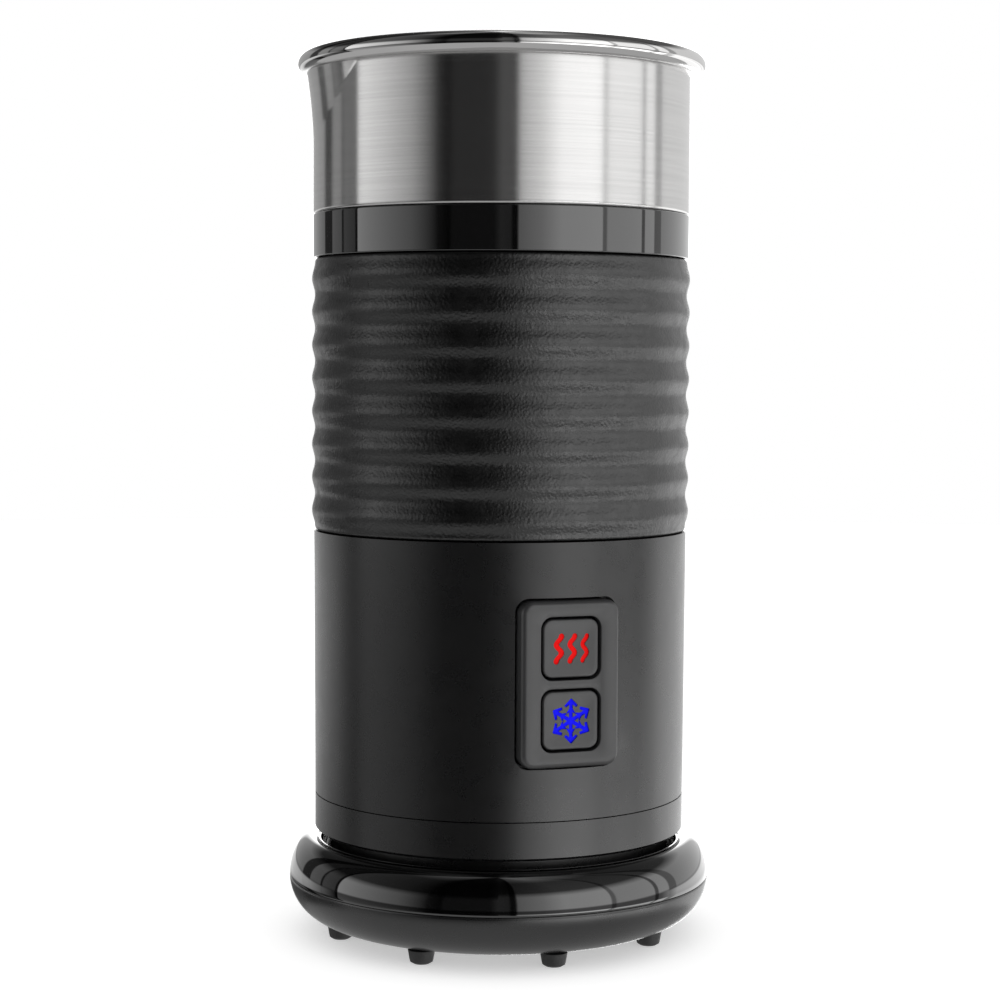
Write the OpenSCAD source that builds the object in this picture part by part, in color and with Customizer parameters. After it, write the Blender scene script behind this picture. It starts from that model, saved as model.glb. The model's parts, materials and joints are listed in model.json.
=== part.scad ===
// Electric milk frother: a steel jug with its heater, motor and controls,
// standing on a separate round power base.
// Millimetres, +Z up, origin under the feet on the jug's axis, front towards -Y.

/* [Jug] */
// Outer diameter of the steel wall
jug_d = 90; // [84:1:110]
// Radius that the plastic housing loses from its top to its bottom
housing_draft = 0.65; // [0:0.05:1]
// Height of the bare steel wall with its rim
steel_h = 37.9; // [31:0.1:48]
// Height of the gloss band under the steel
band_h = 10.2; // [8:0.1:14]
// Height of the grip sleeve
sleeve_h = 64.75; // [52:0.05:80]
// Height of the bare housing under the sleeve
housing_h = 63; // [58:0.5:76]
// Height of the cap's ring under the seam
ring_h = 8.7; // [7:0.1:12]
// Open line between the cap and the housing
seam_gap = 0.25; // [0.15:0.05:0.5]
// Wall of the housing and the cap
shell_wall = 2.2; // [1.8:0.1:2.6]

/* [Steel pot] */
// Air gap between the pot and the housing
pot_gap = 2; // [0.8:0.1:5]
// Thickness of the steel
pot_wall = 0.8; // [0.6:0.05:1]
// Round between the pot's wall and its floor
pot_corner = 6; // [4:0.5:8]
// Round of the shoulder's edge
shoulder_round = 0.8; // [0.6:0.05:1.2]
// Height of the room for the motor and boards under the pot
works_h = 58; // [56:1:72]
// Radius of the rolled rim's section
bead_r = 2.05; // [1.6:0.05:2.4]
// How far the rolled rim's centre stands outside the wall
bead_out = 1.55; // [1.2:0.05:2]
// Hollow round under the rolled rim
lip_fillet = 2.6; // [2:0.1:4]
// Height of the pour spout under the rim's centre
spout_h = 13.5; // [9:0.5:18]
// How far the spout stands out at the top
spout_out = 1.5; // [0.8:0.1:2]
// How much smaller than the wall's radius the spout is at its tip
spout_tip_inset = 15; // [10:1:20]
// How much smaller than the wall's radius the spout is at its top
spout_top_inset = 6.4; // [5:0.1:9]

/* [Grip sleeve] */
// Thickness of the sleeve between its ribs
sleeve_t = 1.75; // [1.4:0.05:2.2]
// Number of ribs
rib_count = 8; // [5:1:10]
// Height of a rib over the valley beside it
rib_rise = 0.7; // [0.3:0.1:1]
// Distance from the sleeve's edge to the first rib's crest
rib_margin = 4.8; // [3:0.1:7]
// Round of the sleeve's edges
sleeve_round = 1.1; // [0.5:0.1:1.5]

/* [Control panel] */
// Angle of the panel from the front, towards +X
panel_az = 20.4; // [-40:0.1:40]
// Height of the panel's middle over the seam
panel_up = 31.3; // [26:0.1:38]
// Width of the bezel beside the keys
bezel_side = 5.3; // [3.5:0.1:6.5]
// Height of the bezel over and under the keys
bezel_end = 4.4; // [3:0.1:6]
// Height of the bezel's bar between the keys
bezel_bar = 3; // [2.7:0.1:5]
// How far the bezel's face stands out from the housing
bezel_proud = 1.7; // [1:0.1:3]
// Corner radius of the bezel
bezel_round = 3; // [2:0.1:4]
// Width of a key
key_w = 13.4; // [11.5:0.1:15]
// Height of a key
key_h = 13.2; // [11.5:0.1:16]
// Corner radius of a key
key_round = 2.3; // [1:0.1:3]
// Travel of a key
key_travel = 0.8; // [0.3:0.1:1.2]
// Open gap around a key
key_gap = 0.35; // [0.3:0.05:0.5]

/* [Power base] */
// How far the base stands out past the jug's wall
base_out = 5.5; // [3:0.1:9]
// Height of the base's crest over the surface it stands on
base_h = 23.4; // [22.5:0.1:28]
// Height of the seam between bowl and cover
base_seam_h = 14; // [13:0.1:15]
// Wall of the bowl and the cover
base_wall = 2; // [1.6:0.1:2.4]
// How far the bowl's round reaches in
bowl_round = 10.5; // [8:0.5:12]
// How far the crest of the cover lies inside its edge
crest_in = 6.1; // [5:0.1:7.5]
// Gap between the base's crest and the cap's ring
lift_gap = 1.8; // [1:0.1:3]
// Open gap around the jug in the base's well
well_gap = 2.2; // [1:0.1:4]
// Height of the well's floor
well_floor_h = 17; // [16.5:0.1:18]
// Number of feet
foot_count = 8; // [4:1:12]
// Height of a foot under the bowl
foot_h = 3.4; // [2:0.1:5]
// Radius of a foot where it meets the bowl
foot_r = 3.2; // [2.6:0.1:4]
// Distance of the feet from the base's edge
foot_in = 11; // [8:0.5:16]
// Radius of the hole for the cord
cord_hole_r = 3.25; // [2.5:0.05:3.4]

/* [Connector] */
// Radius of the connector's post
post_r = 12; // [10:0.1:14.4]
// Radius of the centre contact pin
contact_pin_r = 2; // [1.6:0.1:2.2]
// Mean radius of the ring contact
contact_ring_r = 7.8; // [7.2:0.1:8.2]
// Gap between the connector's two halves
contact_gap = 0.5; // [0.3:0.05:0.7]

/* [Drive] */
// Radius of the motor's can
motor_r = 13.5; // [12:0.1:15]
// Length of the motor's can
motor_l = 24; // [20:0.5:26]
// Radius of the motor's shaft
shaft_r = 1.5; // [1.2:0.05:2]
// Running clearance of a shaft or pin in its hole
run_gap = 0.06; // [0.03:0.01:0.1]
// Radius of the magnet carrier
carrier_r = 14.5; // [12:0.1:15]
// Radius of the pin that the whisk turns on
pin_r = 1.8; // [1.4:0.1:2.4]
// Radius of the whisk's hub
hub_r = 10; // [9:0.5:14]
// Radius of the whisk's coil section
coil_r = 2.4; // [1.8:0.1:3]

/* [Lid] */
// Gap between the seal and the pot's wall
lid_gap = 0.3; // [0.2:0.05:0.5]
// Rise of the lid's dome
lid_rise = 3.4; // [2:0.1:5]
// Thickness of the lid
lid_t = 1.8; // [1.4:0.1:2.4]
// Radius of the lid's knob
knob_r = 8; // [6:0.5:12]
// Height of the knob over the dome
knob_h = 4; // [3:0.1:6]

/* [Hidden] */
$fn = 96;
// Overlap that joins features of one piece, and lets a cut pass its face
eps = 0.01;
cut = 1;
// Steps in a quarter of a rounded outline
round_steps = 8;

jug_r = jug_d / 2;
base_r = jug_r + base_out;

// Heights, from the surface that the base stands on
ring_z = base_h + lift_gap;
seam_z = ring_z + ring_h;
sleeve_z = seam_z + housing_h;
band_z = sleeve_z + sleeve_h;
steel_z = band_z + band_h;
rim_z = steel_z + steel_h;
bead_z = rim_z - bead_r;
pot_z = seam_z + works_h;
pot_floor_z = pot_z + pot_wall;
panel_z = seam_z + panel_up;

// Radius of the outside at a height, with the housing's draft
function body_r(z) = jug_r - housing_draft * (steel_z - z) / (steel_z - seam_z);

// Points of a round outline about [x, y], half-sizes rx and ry, from angle a to b
function round_points(x, y, rx, ry, a, b, n = round_steps) =
  [for (i = [0:n]) [x + rx * cos(a + (b - a) * i / n), y + ry * sin(a + (b - a) * i / n)]];

// A ring about the Z axis
module ring(outer, inner, z, h) {
  translate([0, 0, z]) difference() {
    cylinder(r = outer, h = h);
    translate([0, 0, -cut]) cylinder(r = inner, h = h + 2 * cut);
  }
}

// Copies at a radius, at each angle of a list
module at_angles(radius, angles) {
  for (a = angles) rotate([0, 0, a]) translate([radius, 0, 0]) children();
}

// A plate with round corners, centred, growing along +Z
module slab(w, h, t, r) {
  linear_extrude(t) {
    square([w - 2 * r, h], center = true);
    square([w, h - 2 * r], center = true);
    for (x = [-1, 1], y = [-1, 1]) translate([x * (w / 2 - r), y * (h / 2 - r)]) circle(r);
  }
}

// A screw with its head's underside at z = 0 and its shank along +Z
module screw(head_r, head_h, shank_r, length) {
  difference() {
    translate([0, 0, -head_h]) cylinder(r = head_r, h = head_h);
    translate([0, 0, -head_h - eps]) cube([head_r * 1.3, head_r * 0.25, head_h], center = true);
    translate([0, 0, -head_h - eps]) cube([head_r * 0.25, head_r * 1.3, head_h], center = true);
  }
  cylinder(r = shank_r, h = length);
}

// ---- power base ----

bowl_in_r = base_r - bowl_round;
bowl_rise = base_seam_h - foot_h;
foot_turn = 18.8;
foot_angles = [for (i = [0:foot_count - 1]) foot_turn + i * 360 / foot_count];
foot_place_r = base_r - foot_in;
foot_taper = 0.6;
foot_tip_r = foot_r - foot_taper;
foot_stem_r = 2;
foot_stem_l = 3;
crest_r = base_r - crest_in;
cap_r = jug_r - housing_draft;
cap_step = 3.85;
cap_boss_r = cap_r - cap_step;
well_r = cap_boss_r + well_gap;
lip_drop = 1.2;
tongue_gap = 0.5;
tongue_wall = 1.2;
tongue_rise = 1.6;
tongue_foot = 5;
post_gap = 0.3;
flange_reach = 4.5;
flange_r = post_r + flange_reach;
flange_h = 2.2;
flange_z = well_floor_h - base_wall - flange_h;
post_rise = 5.6;
post_top_z = well_floor_h + post_rise;
post_below = 5;
post_edge = 1;
support_wall = 2;
support_in = 1.4;
cover_screw_r = 31;
cover_screw_angles = [for (i = [0:3]) 45 + 90 * i];
cover_screw_seat = 2.6;
cover_screw_z = foot_h + cover_screw_seat;
cover_screw_l = 7.5;
bowl_post_h = 5.2;
bowl_post_z = foot_h + bowl_post_h;
bowl_post_r = 3.8;
cover_post_r = 3.4;
screw_head_r = 2.8;
screw_head_h = 1.8;
screw_shank_r = 1.2;
pilot_r = 1.25;
hole_r = 1.6;
sink_r = 3.1;
grommet_wall = 0.95;
grommet_r = cord_hole_r + grommet_wall;
grommet_z = (foot_h + base_seam_h) / 2 + 0.5;
grommet_l = 7;
grommet_in = 0.2;
grommet_y = base_r - grommet_in - grommet_l;

module base_housing() {
  tongue_r = base_r - base_wall - tongue_gap;
  support_r = post_r + support_in;
  color("#232325") difference() {
    union() {
      rotate_extrude() polygon(concat(
        [[0, foot_h]],
        round_points(bowl_in_r, base_seam_h, bowl_round, bowl_rise, -90, 0),
        round_points(bowl_in_r, base_seam_h, bowl_round - base_wall, bowl_rise - base_wall, 0, -90),
        [[0, foot_h + base_wall]]));
      ring(tongue_r, tongue_r - tongue_wall, base_seam_h - tongue_foot, tongue_foot + tongue_rise);
      ring(support_r + support_wall, support_r, foot_h + base_wall - eps,
        flange_z - foot_h - base_wall + eps);
      at_angles(cover_screw_r, cover_screw_angles)
        translate([0, 0, foot_h + base_wall - eps])
          cylinder(r = bowl_post_r, h = bowl_post_z - foot_h - base_wall + eps);
    }
    at_angles(cover_screw_r, cover_screw_angles) {
      translate([0, 0, foot_h - cut]) cylinder(r = sink_r, h = cover_screw_z - foot_h + cut);
      translate([0, 0, foot_h]) cylinder(r = hole_r, h = bowl_post_z);
    }
    at_angles(foot_place_r, foot_angles)
      translate([0, 0, foot_h - cut]) cylinder(r = foot_stem_r, h = foot_stem_l + 2 * cut);
    translate([0, grommet_y - cut, grommet_z]) rotate([-90, 0, 0])
      cylinder(r = grommet_r, h = grommet_l + 2 * cut);
  }
}

module base_cover() {
  color("#0c0c0d") difference() {
    union() {
      rotate_extrude() polygon(concat(
        [[post_r + post_gap, well_floor_h], [well_r, well_floor_h]],
        round_points(crest_r, base_h - lip_drop, crest_r - well_r, lip_drop, 180, 90),
        round_points(crest_r, base_seam_h, crest_in, base_h - base_seam_h, 90, 0),
        round_points(crest_r, base_seam_h, crest_in - base_wall,
          base_h - base_seam_h - base_wall, 0, 89),
        [[crest_r, well_floor_h - base_wall], [post_r + post_gap, well_floor_h - base_wall]]));
      at_angles(cover_screw_r, cover_screw_angles)
        translate([0, 0, bowl_post_z])
          cylinder(r = cover_post_r, h = well_floor_h - base_wall - bowl_post_z + eps);
    }
    at_angles(cover_screw_r, cover_screw_angles)
      translate([0, 0, bowl_post_z - cut])
        cylinder(r = pilot_r, h = well_floor_h - base_wall - bowl_post_z + cut);
  }
}

module base_feet() {
  color("#161616") at_angles(foot_place_r, foot_angles) {
    cylinder(r1 = foot_tip_r, r2 = foot_r, h = foot_h);
    translate([0, 0, foot_h - eps]) cylinder(r = foot_stem_r, h = foot_stem_l + eps);
  }
}

socket_wall = 0.25;
socket_gap = 0.35;
groove_in_r = contact_ring_r - 1.3;
groove_out_r = contact_ring_r + 1.35;
groove_z = flange_z - 0.8;
pin_hole_r = contact_pin_r + socket_gap + socket_wall;
tail_r = 0.8;
tail_z = foot_h + base_wall + 0.4;
blade_t = 0.8;
socket_drop = 1.5;
socket_floor = 0.4;

module base_connector() {
  color("#1b1b1c") difference() {
    union() {
      translate([0, 0, flange_z - post_below])
        cylinder(r = post_r, h = post_top_z - post_edge - flange_z + post_below);
      translate([0, 0, post_top_z - post_edge])
        cylinder(r1 = post_r, r2 = post_r - post_edge, h = post_edge);
      translate([0, 0, flange_z]) cylinder(r = flange_r, h = flange_h);
    }
    ring(groove_out_r, groove_in_r, groove_z, post_top_z);
    translate([0, 0, groove_z]) cylinder(r = pin_hole_r, h = post_top_z);
    cylinder(r = tail_r, h = post_top_z);
    at_angles(groove_out_r - socket_wall - tail_r, [90]) cylinder(r = tail_r, h = post_top_z);
  }
}

module base_contacts() {
  color("goldenrod") {
    ring(pin_hole_r, pin_hole_r - socket_wall, groove_z, post_top_z - groove_z - socket_drop);
    translate([0, 0, groove_z]) cylinder(r = pin_hole_r, h = socket_floor);
    translate([0, 0, tail_z]) cylinder(r = tail_r, h = groove_z - tail_z + eps);
    ring(groove_out_r, groove_out_r - socket_wall, groove_z, post_top_z - groove_z - socket_drop);
    ring(groove_out_r, groove_out_r - 2 * tail_r, groove_z, socket_floor);
    at_angles(groove_out_r - socket_wall - tail_r, [90])
      translate([0, 0, tail_z]) cylinder(r = tail_r, h = groove_z - tail_z + eps);
  }
}

module base_screws() {
  color("silver") at_angles(cover_screw_r, cover_screw_angles)
    translate([0, 0, cover_screw_z]) screw(screw_head_r, screw_head_h, screw_shank_r, cover_screw_l);
}

module cord_grommet() {
  color("#141414") translate([0, grommet_y, grommet_z]) rotate([-90, 0, 0])
    ring(grommet_r, cord_hole_r, 0, grommet_l);
}

// ---- jug, bottom ----

cap_lift = 0.4;
cap_z = well_floor_h + cap_lift;
cap_wall = 2;
cap_floor_z = cap_z + cap_wall;
housing_in_r = cap_r - shell_wall;
cap_tongue_gap = 0.1;
cap_tongue_h = 3;
cap_tongue_wall = 1.6;
collar_wall = 2.6;
cap_hole_r = post_r + contact_gap + collar_wall;
column_r = 3.6;
column_in = 4;
column_place_r = cap_boss_r - cap_wall - column_in;
// Direction of the panel, from +X
panel_dir = panel_az - 90;
column_angles = [for (i = [0:2]) panel_dir + 60 + 120 * i];
column_z = seam_z + cap_tongue_h - 1;
column_h = 24;
cap_sink_h = 14;
cap_sink_z = cap_z + cap_sink_h;
cap_screw_l = 18;
board_post_angles = [for (i = [0:2]) panel_dir + 120 * i];
board_gap = 1;
board_r = column_place_r - column_r - board_gap;
board_post_in = 4.8;
board_place_r = board_r - board_post_in;
board_post_r = 3;
board_drop = 0.9;
board_z = seam_z - board_drop;
board_t = 1.6;
board_screw_l = 5;
// Bare lead between the contacts and the board
lead_l = 1;

module bottom_cap() {
  edge = 0.6;
  color("#232325") difference() {
    union() {
      rotate_extrude() polygon([
        [cap_hole_r, cap_z], [cap_boss_r - 1, cap_z], [cap_boss_r, cap_z + 1],
        [cap_boss_r, ring_z], [cap_r - edge, ring_z], [cap_r, ring_z + edge],
        [cap_r, seam_z], [housing_in_r - cap_tongue_gap, seam_z],
        [housing_in_r - cap_tongue_gap, seam_z + cap_tongue_h],
        [housing_in_r - cap_tongue_gap - cap_tongue_wall, seam_z + cap_tongue_h],
        [housing_in_r - cap_tongue_gap - cap_tongue_wall, ring_z + cap_wall],
        [cap_boss_r - cap_wall, ring_z + cap_wall], [cap_boss_r - cap_wall, cap_floor_z],
        [cap_hole_r, cap_floor_z]]);
      at_angles(column_place_r, column_angles)
        translate([0, 0, cap_floor_z - eps]) cylinder(r = column_r, h = column_z - cap_floor_z + eps);
      at_angles(board_place_r, board_post_angles)
        translate([0, 0, cap_floor_z - eps]) cylinder(r = board_post_r, h = board_z - cap_floor_z + eps);
    }
    at_angles(column_place_r, column_angles) {
      translate([0, 0, cap_z - cut]) cylinder(r = sink_r, h = cap_sink_z - cap_z + cut);
      translate([0, 0, cap_z]) cylinder(r = hole_r, h = column_z);
    }
    at_angles(board_place_r, board_post_angles)
      translate([0, 0, board_z - board_screw_l - 1]) cylinder(r = pilot_r, h = board_screw_l + 2);
  }
}

ceiling_gap = 0.6;
ceiling_z = post_top_z + ceiling_gap;
ceiling_h = 2;
jug_flange_reach = 3;
jug_flange_r = cap_hole_r + jug_flange_reach;
blade_seat = 1;

module jug_connector() {
  color("#1b1b1c") difference() {
    union() {
      translate([0, 0, cap_z]) cylinder(r = cap_hole_r, h = ceiling_z + ceiling_h - cap_z);
      translate([0, 0, cap_floor_z]) cylinder(r = jug_flange_r, h = ceiling_h);
    }
    translate([0, 0, cap_z - cut]) cylinder(r = post_r + contact_gap, h = ceiling_z - cap_z + cut);
    cylinder(r = contact_pin_r, h = rim_z);
    ring(contact_ring_r + blade_t / 2, contact_ring_r - blade_t / 2, ceiling_z - cut,
      blade_seat + cut);
    at_angles(contact_ring_r, [0, 180]) translate([0, 0, ceiling_z]) cylinder(r = tail_r, h = ring_z);
  }
}

module jug_contacts() {
  pin_z = groove_z + 2;
  tip_h = 1;
  blade_z = groove_z + 1.5;
  tail_z = ceiling_z + blade_seat;
  tail_top_z = board_z - lead_l;
  color("goldenrod") {
    translate([0, 0, pin_z]) cylinder(r = contact_pin_r, h = tail_top_z - pin_z);
    translate([0, 0, pin_z - tip_h]) cylinder(r1 = contact_pin_r - tip_h, r2 = contact_pin_r, h = tip_h);
    ring(contact_ring_r + blade_t / 2, contact_ring_r - blade_t / 2, blade_z, tail_z - blade_z);
    at_angles(contact_ring_r, [0, 180])
      translate([0, 0, tail_z - eps]) cylinder(r = tail_r, h = tail_top_z - tail_z);
  }
}

module cap_screws() {
  color("silver") at_angles(column_place_r, column_angles)
    translate([0, 0, cap_sink_z]) screw(screw_head_r, screw_head_h, screw_shank_r, cap_screw_l);
}

// ---- jug, shells ----

housing_z = seam_z + seam_gap;
spigot_gap = 0.1;
spigot_in = 0.6;
spigot_r = jug_r - shell_wall - spigot_in;
gasket_h = 1;
housing_top_z = steel_z - gasket_h;
sleeve_seat_r = body_r(sleeve_z) - sleeve_t;
sleeve_in_wall = 1.6;
housing_neck_r = sleeve_seat_r - sleeve_in_wall;
neck_taper = 2;
bezel_fit = 0.2;

module housing_shell() {
  rotate_extrude() polygon([
    [housing_in_r, housing_z], [body_r(housing_z), housing_z], [body_r(sleeve_z), sleeve_z],
    [sleeve_seat_r, sleeve_z], [sleeve_seat_r, band_z], [spigot_r, band_z],
    [spigot_r, housing_top_z], [housing_neck_r, housing_top_z],
    [housing_neck_r, sleeve_z], [housing_in_r, sleeve_z - neck_taper]]);
}

module main_housing() {
  rib_w = 2;
  rib_sink = 0.5;
  color("#232325") difference() {
    union() {
      housing_shell();
      at_angles(column_place_r, column_angles) translate([0, 0, column_z]) {
        cylinder(r = column_r, h = column_h);
        translate([0, -rib_w / 2, 0])
          cube([housing_in_r - column_place_r + rib_sink, rib_w, column_h]);
      }
    }
    at_angles(column_place_r, column_angles)
      translate([0, 0, column_z - cut]) cylinder(r = pilot_r, h = column_h - 3 + cut);
    ring(housing_in_r, housing_in_r - cap_tongue_wall - 2 * cap_tongue_gap,
      column_z - cut, seam_z + cap_tongue_h + cap_tongue_gap - column_z + cut);
    on_panel(0) translate([0, 0, jug_r / 2])
      slab(bezel_w + 2 * bezel_fit, bezel_h + 2 * bezel_fit, jug_r, bezel_round + bezel_fit);
  }
}

// How far the valleys lie inside the housing's outside
valley_in = 0.2;
rib_pitch = (sleeve_h - 2 * rib_margin) / (rib_count - 1);
// Height of the sleeve's waves over their valleys, at a distance from the lower edge
function rib_wave(h) = rib_rise / 2 * (1 + cos(360 * (h - rib_margin) / rib_pitch));
// Loss of radius close to the sleeve's rounded edges
function edge_loss(h) = h >= sleeve_round ? 0 :
  sleeve_round - sqrt(sleeve_round ^ 2 - (sleeve_round - h) ^ 2);
function sleeve_r(h) = sleeve_seat_r + sleeve_t - valley_in + rib_wave(h)
  - edge_loss(h) - edge_loss(sleeve_h - h);

module grip_sleeve() {
  fine = [for (i = [0:4]) sleeve_round * (1 - cos(90 * i / 4))];
  steps = rib_count * 8;
  middle = [for (i = [1:steps - 1]) sleeve_round + (sleeve_h - 2 * sleeve_round) * i / steps];
  top = [for (i = [4:-1:0]) sleeve_h - fine[i]];
  levels = concat(fine, middle, top);
  color("#303032") rotate_extrude() polygon(concat(
    [[sleeve_seat_r, sleeve_z]],
    [for (h = levels) [sleeve_r(h), sleeve_z + h]],
    [[sleeve_seat_r, band_z]]));
}

module trim_band() {
  edge = 0.3;
  color("#0c0c0d") rotate_extrude() polygon([
    [spigot_r + spigot_gap, band_z], [body_r(band_z) - edge, band_z],
    [body_r(band_z), band_z + edge], [jug_r, steel_z - edge],
    [jug_r - edge, steel_z], [spigot_r + spigot_gap, steel_z]]);
}

module band_gasket() {
  color("#3a3a3a") ring(spigot_r, housing_neck_r, housing_top_z, gasket_h);
}

// ---- steel pot ----

pot_r = housing_neck_r - pot_gap;
bead_place_r = jug_r + bead_out;
fillet_r = jug_r + lip_fillet;
fillet_z = bead_z - sqrt((lip_fillet + bead_r) ^ 2 - (fillet_r - bead_place_r) ^ 2);
fillet_a = atan2(bead_z - fillet_z, bead_place_r - fillet_r);
pot_in_r = jug_r - pot_wall;
spout_z = bead_z - spout_h;

// Full outside of the pot
module pot_outside() {
  rotate_extrude() polygon(concat(
    [[0, pot_z]],
    round_points(pot_r - pot_corner, pot_z + pot_corner, pot_corner, pot_corner, -90, 0),
    [[pot_r, steel_z]],
    round_points(jug_r - shoulder_round, steel_z + shoulder_round, shoulder_round,
      shoulder_round, -90, 0, 3),
    round_points(fillet_r, fillet_z, lip_fillet, lip_fillet, 180, fillet_a, 5),
    round_points(bead_place_r, bead_z, bead_r, bead_r, fillet_a - 180, 90, 10),
    [[0, rim_z]]));
}

// The space inside the pot
module pot_inside() {
  inner_corner = pot_corner - pot_wall;
  shoulder_z = steel_z + pot_wall;
  rotate_extrude() polygon(concat(
    [[0, pot_floor_z]],
    round_points(pot_r - pot_corner, pot_z + pot_corner, inner_corner, inner_corner, -90, 0),
    [[pot_r - pot_wall, shoulder_z], [pot_in_r - shoulder_round, shoulder_z],
     [pot_in_r, shoulder_z + shoulder_round], [pot_in_r, bead_z - bead_r],
     [bead_place_r - bead_r, bead_z]],
    round_points(bead_place_r, bead_z, bead_r, bead_r, 180, 90),
    [[bead_place_r, rim_z + cut], [0, rim_z + cut]]));
}

// The pressed spout: a slanting round form that leaves the wall at its tip
module spout_form(inset, height) {
  grow = height / spout_h;
  tip_r = jug_r - spout_tip_inset;
  top_r = tip_r + (spout_tip_inset - spout_top_inset) * grow;
  reach = spout_out * grow;
  hull() {
    translate([-(jug_r - tip_r), 0, spout_z])
      cylinder(r = tip_r - inset, h = eps, $fn = 120);
    translate([-(jug_r + reach - top_r), 0, spout_z + height])
      cylinder(r = top_r - inset, h = eps, $fn = 120);
  }
}

module steel_pot() {
  color("#c9c9c9") difference() {
    union() {
      pot_outside();
      spout_form(0, spout_h);
    }
    pot_inside();
    spout_form(pot_wall, spout_h + bead_r + cut);
  }
}

// ---- drive ----

pin_h = 10.5;
pin_foot_h = 0.6;
pin_foot_r = 4.5;
pin_chamfer = 0.8;

module drive_pin() {
  color("#b5b5b5") translate([0, 0, pot_floor_z]) {
    cylinder(r = pin_foot_r, h = pin_foot_h);
    cylinder(r = pin_r, h = pin_h);
    translate([0, 0, pin_h])
      cylinder(r1 = pin_r, r2 = pin_r - pin_chamfer, h = pin_chamfer);
  }
}

plate_h = 4;
plate_z = pot_z - plate_h;
plate_edge = 0.3;
plate_r = pot_r - pot_corner - plate_edge;
carrier_room = 2.8;
plate_in_r = carrier_r + carrier_room;
element_r = 3;
element_in = 3.2;
element_fit = 0.05;
element_place_r = plate_in_r + element_r + element_in;
element_show = 1;
element_z = plate_z - element_show;
element_gap_a = panel_dir + 120;
element_open = 44;
element_tail_a = element_open / 2 + 3;
element_tail_r = 1.4;
element_tail_l = 12;
standoff_r = 2.4;
standoff_in = 2.9;
standoff_place_r = plate_r - standoff_in;
standoff_angles = column_angles;
bracket_t = 1.5;
bracket_drop = 13.9;
bracket_z = pot_z - bracket_drop;
arm_w = 7;
bracket_edge = 1;

module element_tube(r) {
  rotate([0, 0, element_gap_a + element_open / 2])
    translate([0, 0, element_z]) rotate_extrude(angle = 360 - element_open)
      translate([element_place_r, 0]) circle(r);
}

module heater_plate() {
  color("#a9abad") difference() {
    ring(plate_r, plate_in_r, plate_z, plate_h);
    element_tube(element_r + element_fit);
    at_angles(standoff_place_r, standoff_angles)
      translate([0, 0, plate_z - cut]) cylinder(r = pilot_r, h = plate_h);
  }
}

module heating_ring() {
  color("#8a8f92") {
    element_tube(element_r);
    at_angles(element_place_r, [element_gap_a - element_tail_a, element_gap_a + element_tail_a])
      translate([0, 0, element_z - element_tail_l])
        cylinder(r = element_tail_r, h = element_tail_l);
  }
}

module thermostat() {
  case_r = 4.6;
  case_h = 4.5;
  tab = [0.8, 3, 4.6];
  color("#cfcabf") at_angles(element_place_r, [element_gap_a]) translate([0, 0, plate_z]) {
    translate([0, 0, -case_h]) cylinder(r = case_r, h = case_h);
    for (x = [-2, 2]) translate([x - tab.x / 2, -tab.y / 2, eps - case_h - tab.z]) cube(tab);
  }
}

module motor_standoffs() {
  color("#9a9a9a") difference() {
    at_angles(standoff_place_r, standoff_angles)
      translate([0, 0, bracket_z + bracket_t])
        cylinder(r = standoff_r, h = plate_z - bracket_z - bracket_t);
    at_angles(standoff_place_r, standoff_angles)
      translate([0, 0, bracket_z]) cylinder(r = pilot_r, h = plate_h + 2);
  }
}

motor_z = bracket_z - motor_l;
motor_boss_r = 4;
motor_screw_place_r = 8.5;
motor_screw_angles = [panel_dir, panel_dir + 180];
small_head_r = 2.2;
small_head_h = 1.4;
bracket_screw_l = 5;
motor_screw_l = 1.5;
can_wall = 0.8;
stator_t = 2.2;
stator_gap = 3;

module motor_bracket() {
  color("#b8bcc0") translate([0, 0, bracket_z]) linear_extrude(bracket_t) difference() {
    union() {
      circle(motor_r + bracket_edge);
      for (a = standoff_angles) rotate(a) {
        translate([0, -arm_w / 2]) square([standoff_place_r, arm_w]);
        translate([standoff_place_r, 0]) circle(arm_w / 2);
      }
    }
    circle(motor_boss_r);
    for (a = standoff_angles) rotate(a) translate([standoff_place_r, 0]) circle(hole_r);
    for (a = motor_screw_angles) rotate(a) translate([motor_screw_place_r, 0]) circle(hole_r);
  }
}

module bracket_screws() {
  color("silver") at_angles(standoff_place_r, standoff_angles)
    translate([0, 0, bracket_z]) screw(screw_head_r, screw_head_h, screw_shank_r, bracket_screw_l);
}

module motor_screws() {
  color("silver") at_angles(motor_screw_place_r, motor_screw_angles)
    translate([0, 0, bracket_z + bracket_t]) mirror([0, 0, 1])
      screw(small_head_r, small_head_h, screw_shank_r, bracket_t + can_wall + motor_screw_l);
}

bush_r = 3;
bush_h = 2.4;
endcap_h = 3;
motor_body_z = motor_z + endcap_h;

module motor_can() {
  color("#a3a6a8") difference() {
    union() {
      translate([0, 0, motor_body_z]) cylinder(r = motor_r, h = bracket_z - motor_body_z);
      translate([0, 0, bracket_z - eps]) cylinder(r = motor_boss_r, h = bracket_t);
    }
    translate([0, 0, motor_body_z - cut])
      cylinder(r = motor_r - can_wall, h = bracket_z - can_wall - motor_body_z + cut);
    translate([0, 0, bracket_z - cut - can_wall]) cylinder(r = bush_r, h = rim_z);
    at_angles(motor_screw_place_r, motor_screw_angles)
      translate([0, 0, bracket_z - can_wall - cut]) cylinder(r = pilot_r, h = can_wall + 2 * cut);
  }
}

module motor_endcap() {
  color("#2d2f31") difference() {
    union() {
      translate([0, 0, motor_z]) cylinder(r = motor_r, h = endcap_h);
      translate([0, 0, motor_z + endcap_h - eps]) cylinder(r = motor_r - can_wall - 0.1, h = 1);
    }
    translate([0, 0, motor_z - cut]) cylinder(r = bush_r, h = endcap_h + 2 + cut);
  }
}

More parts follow.
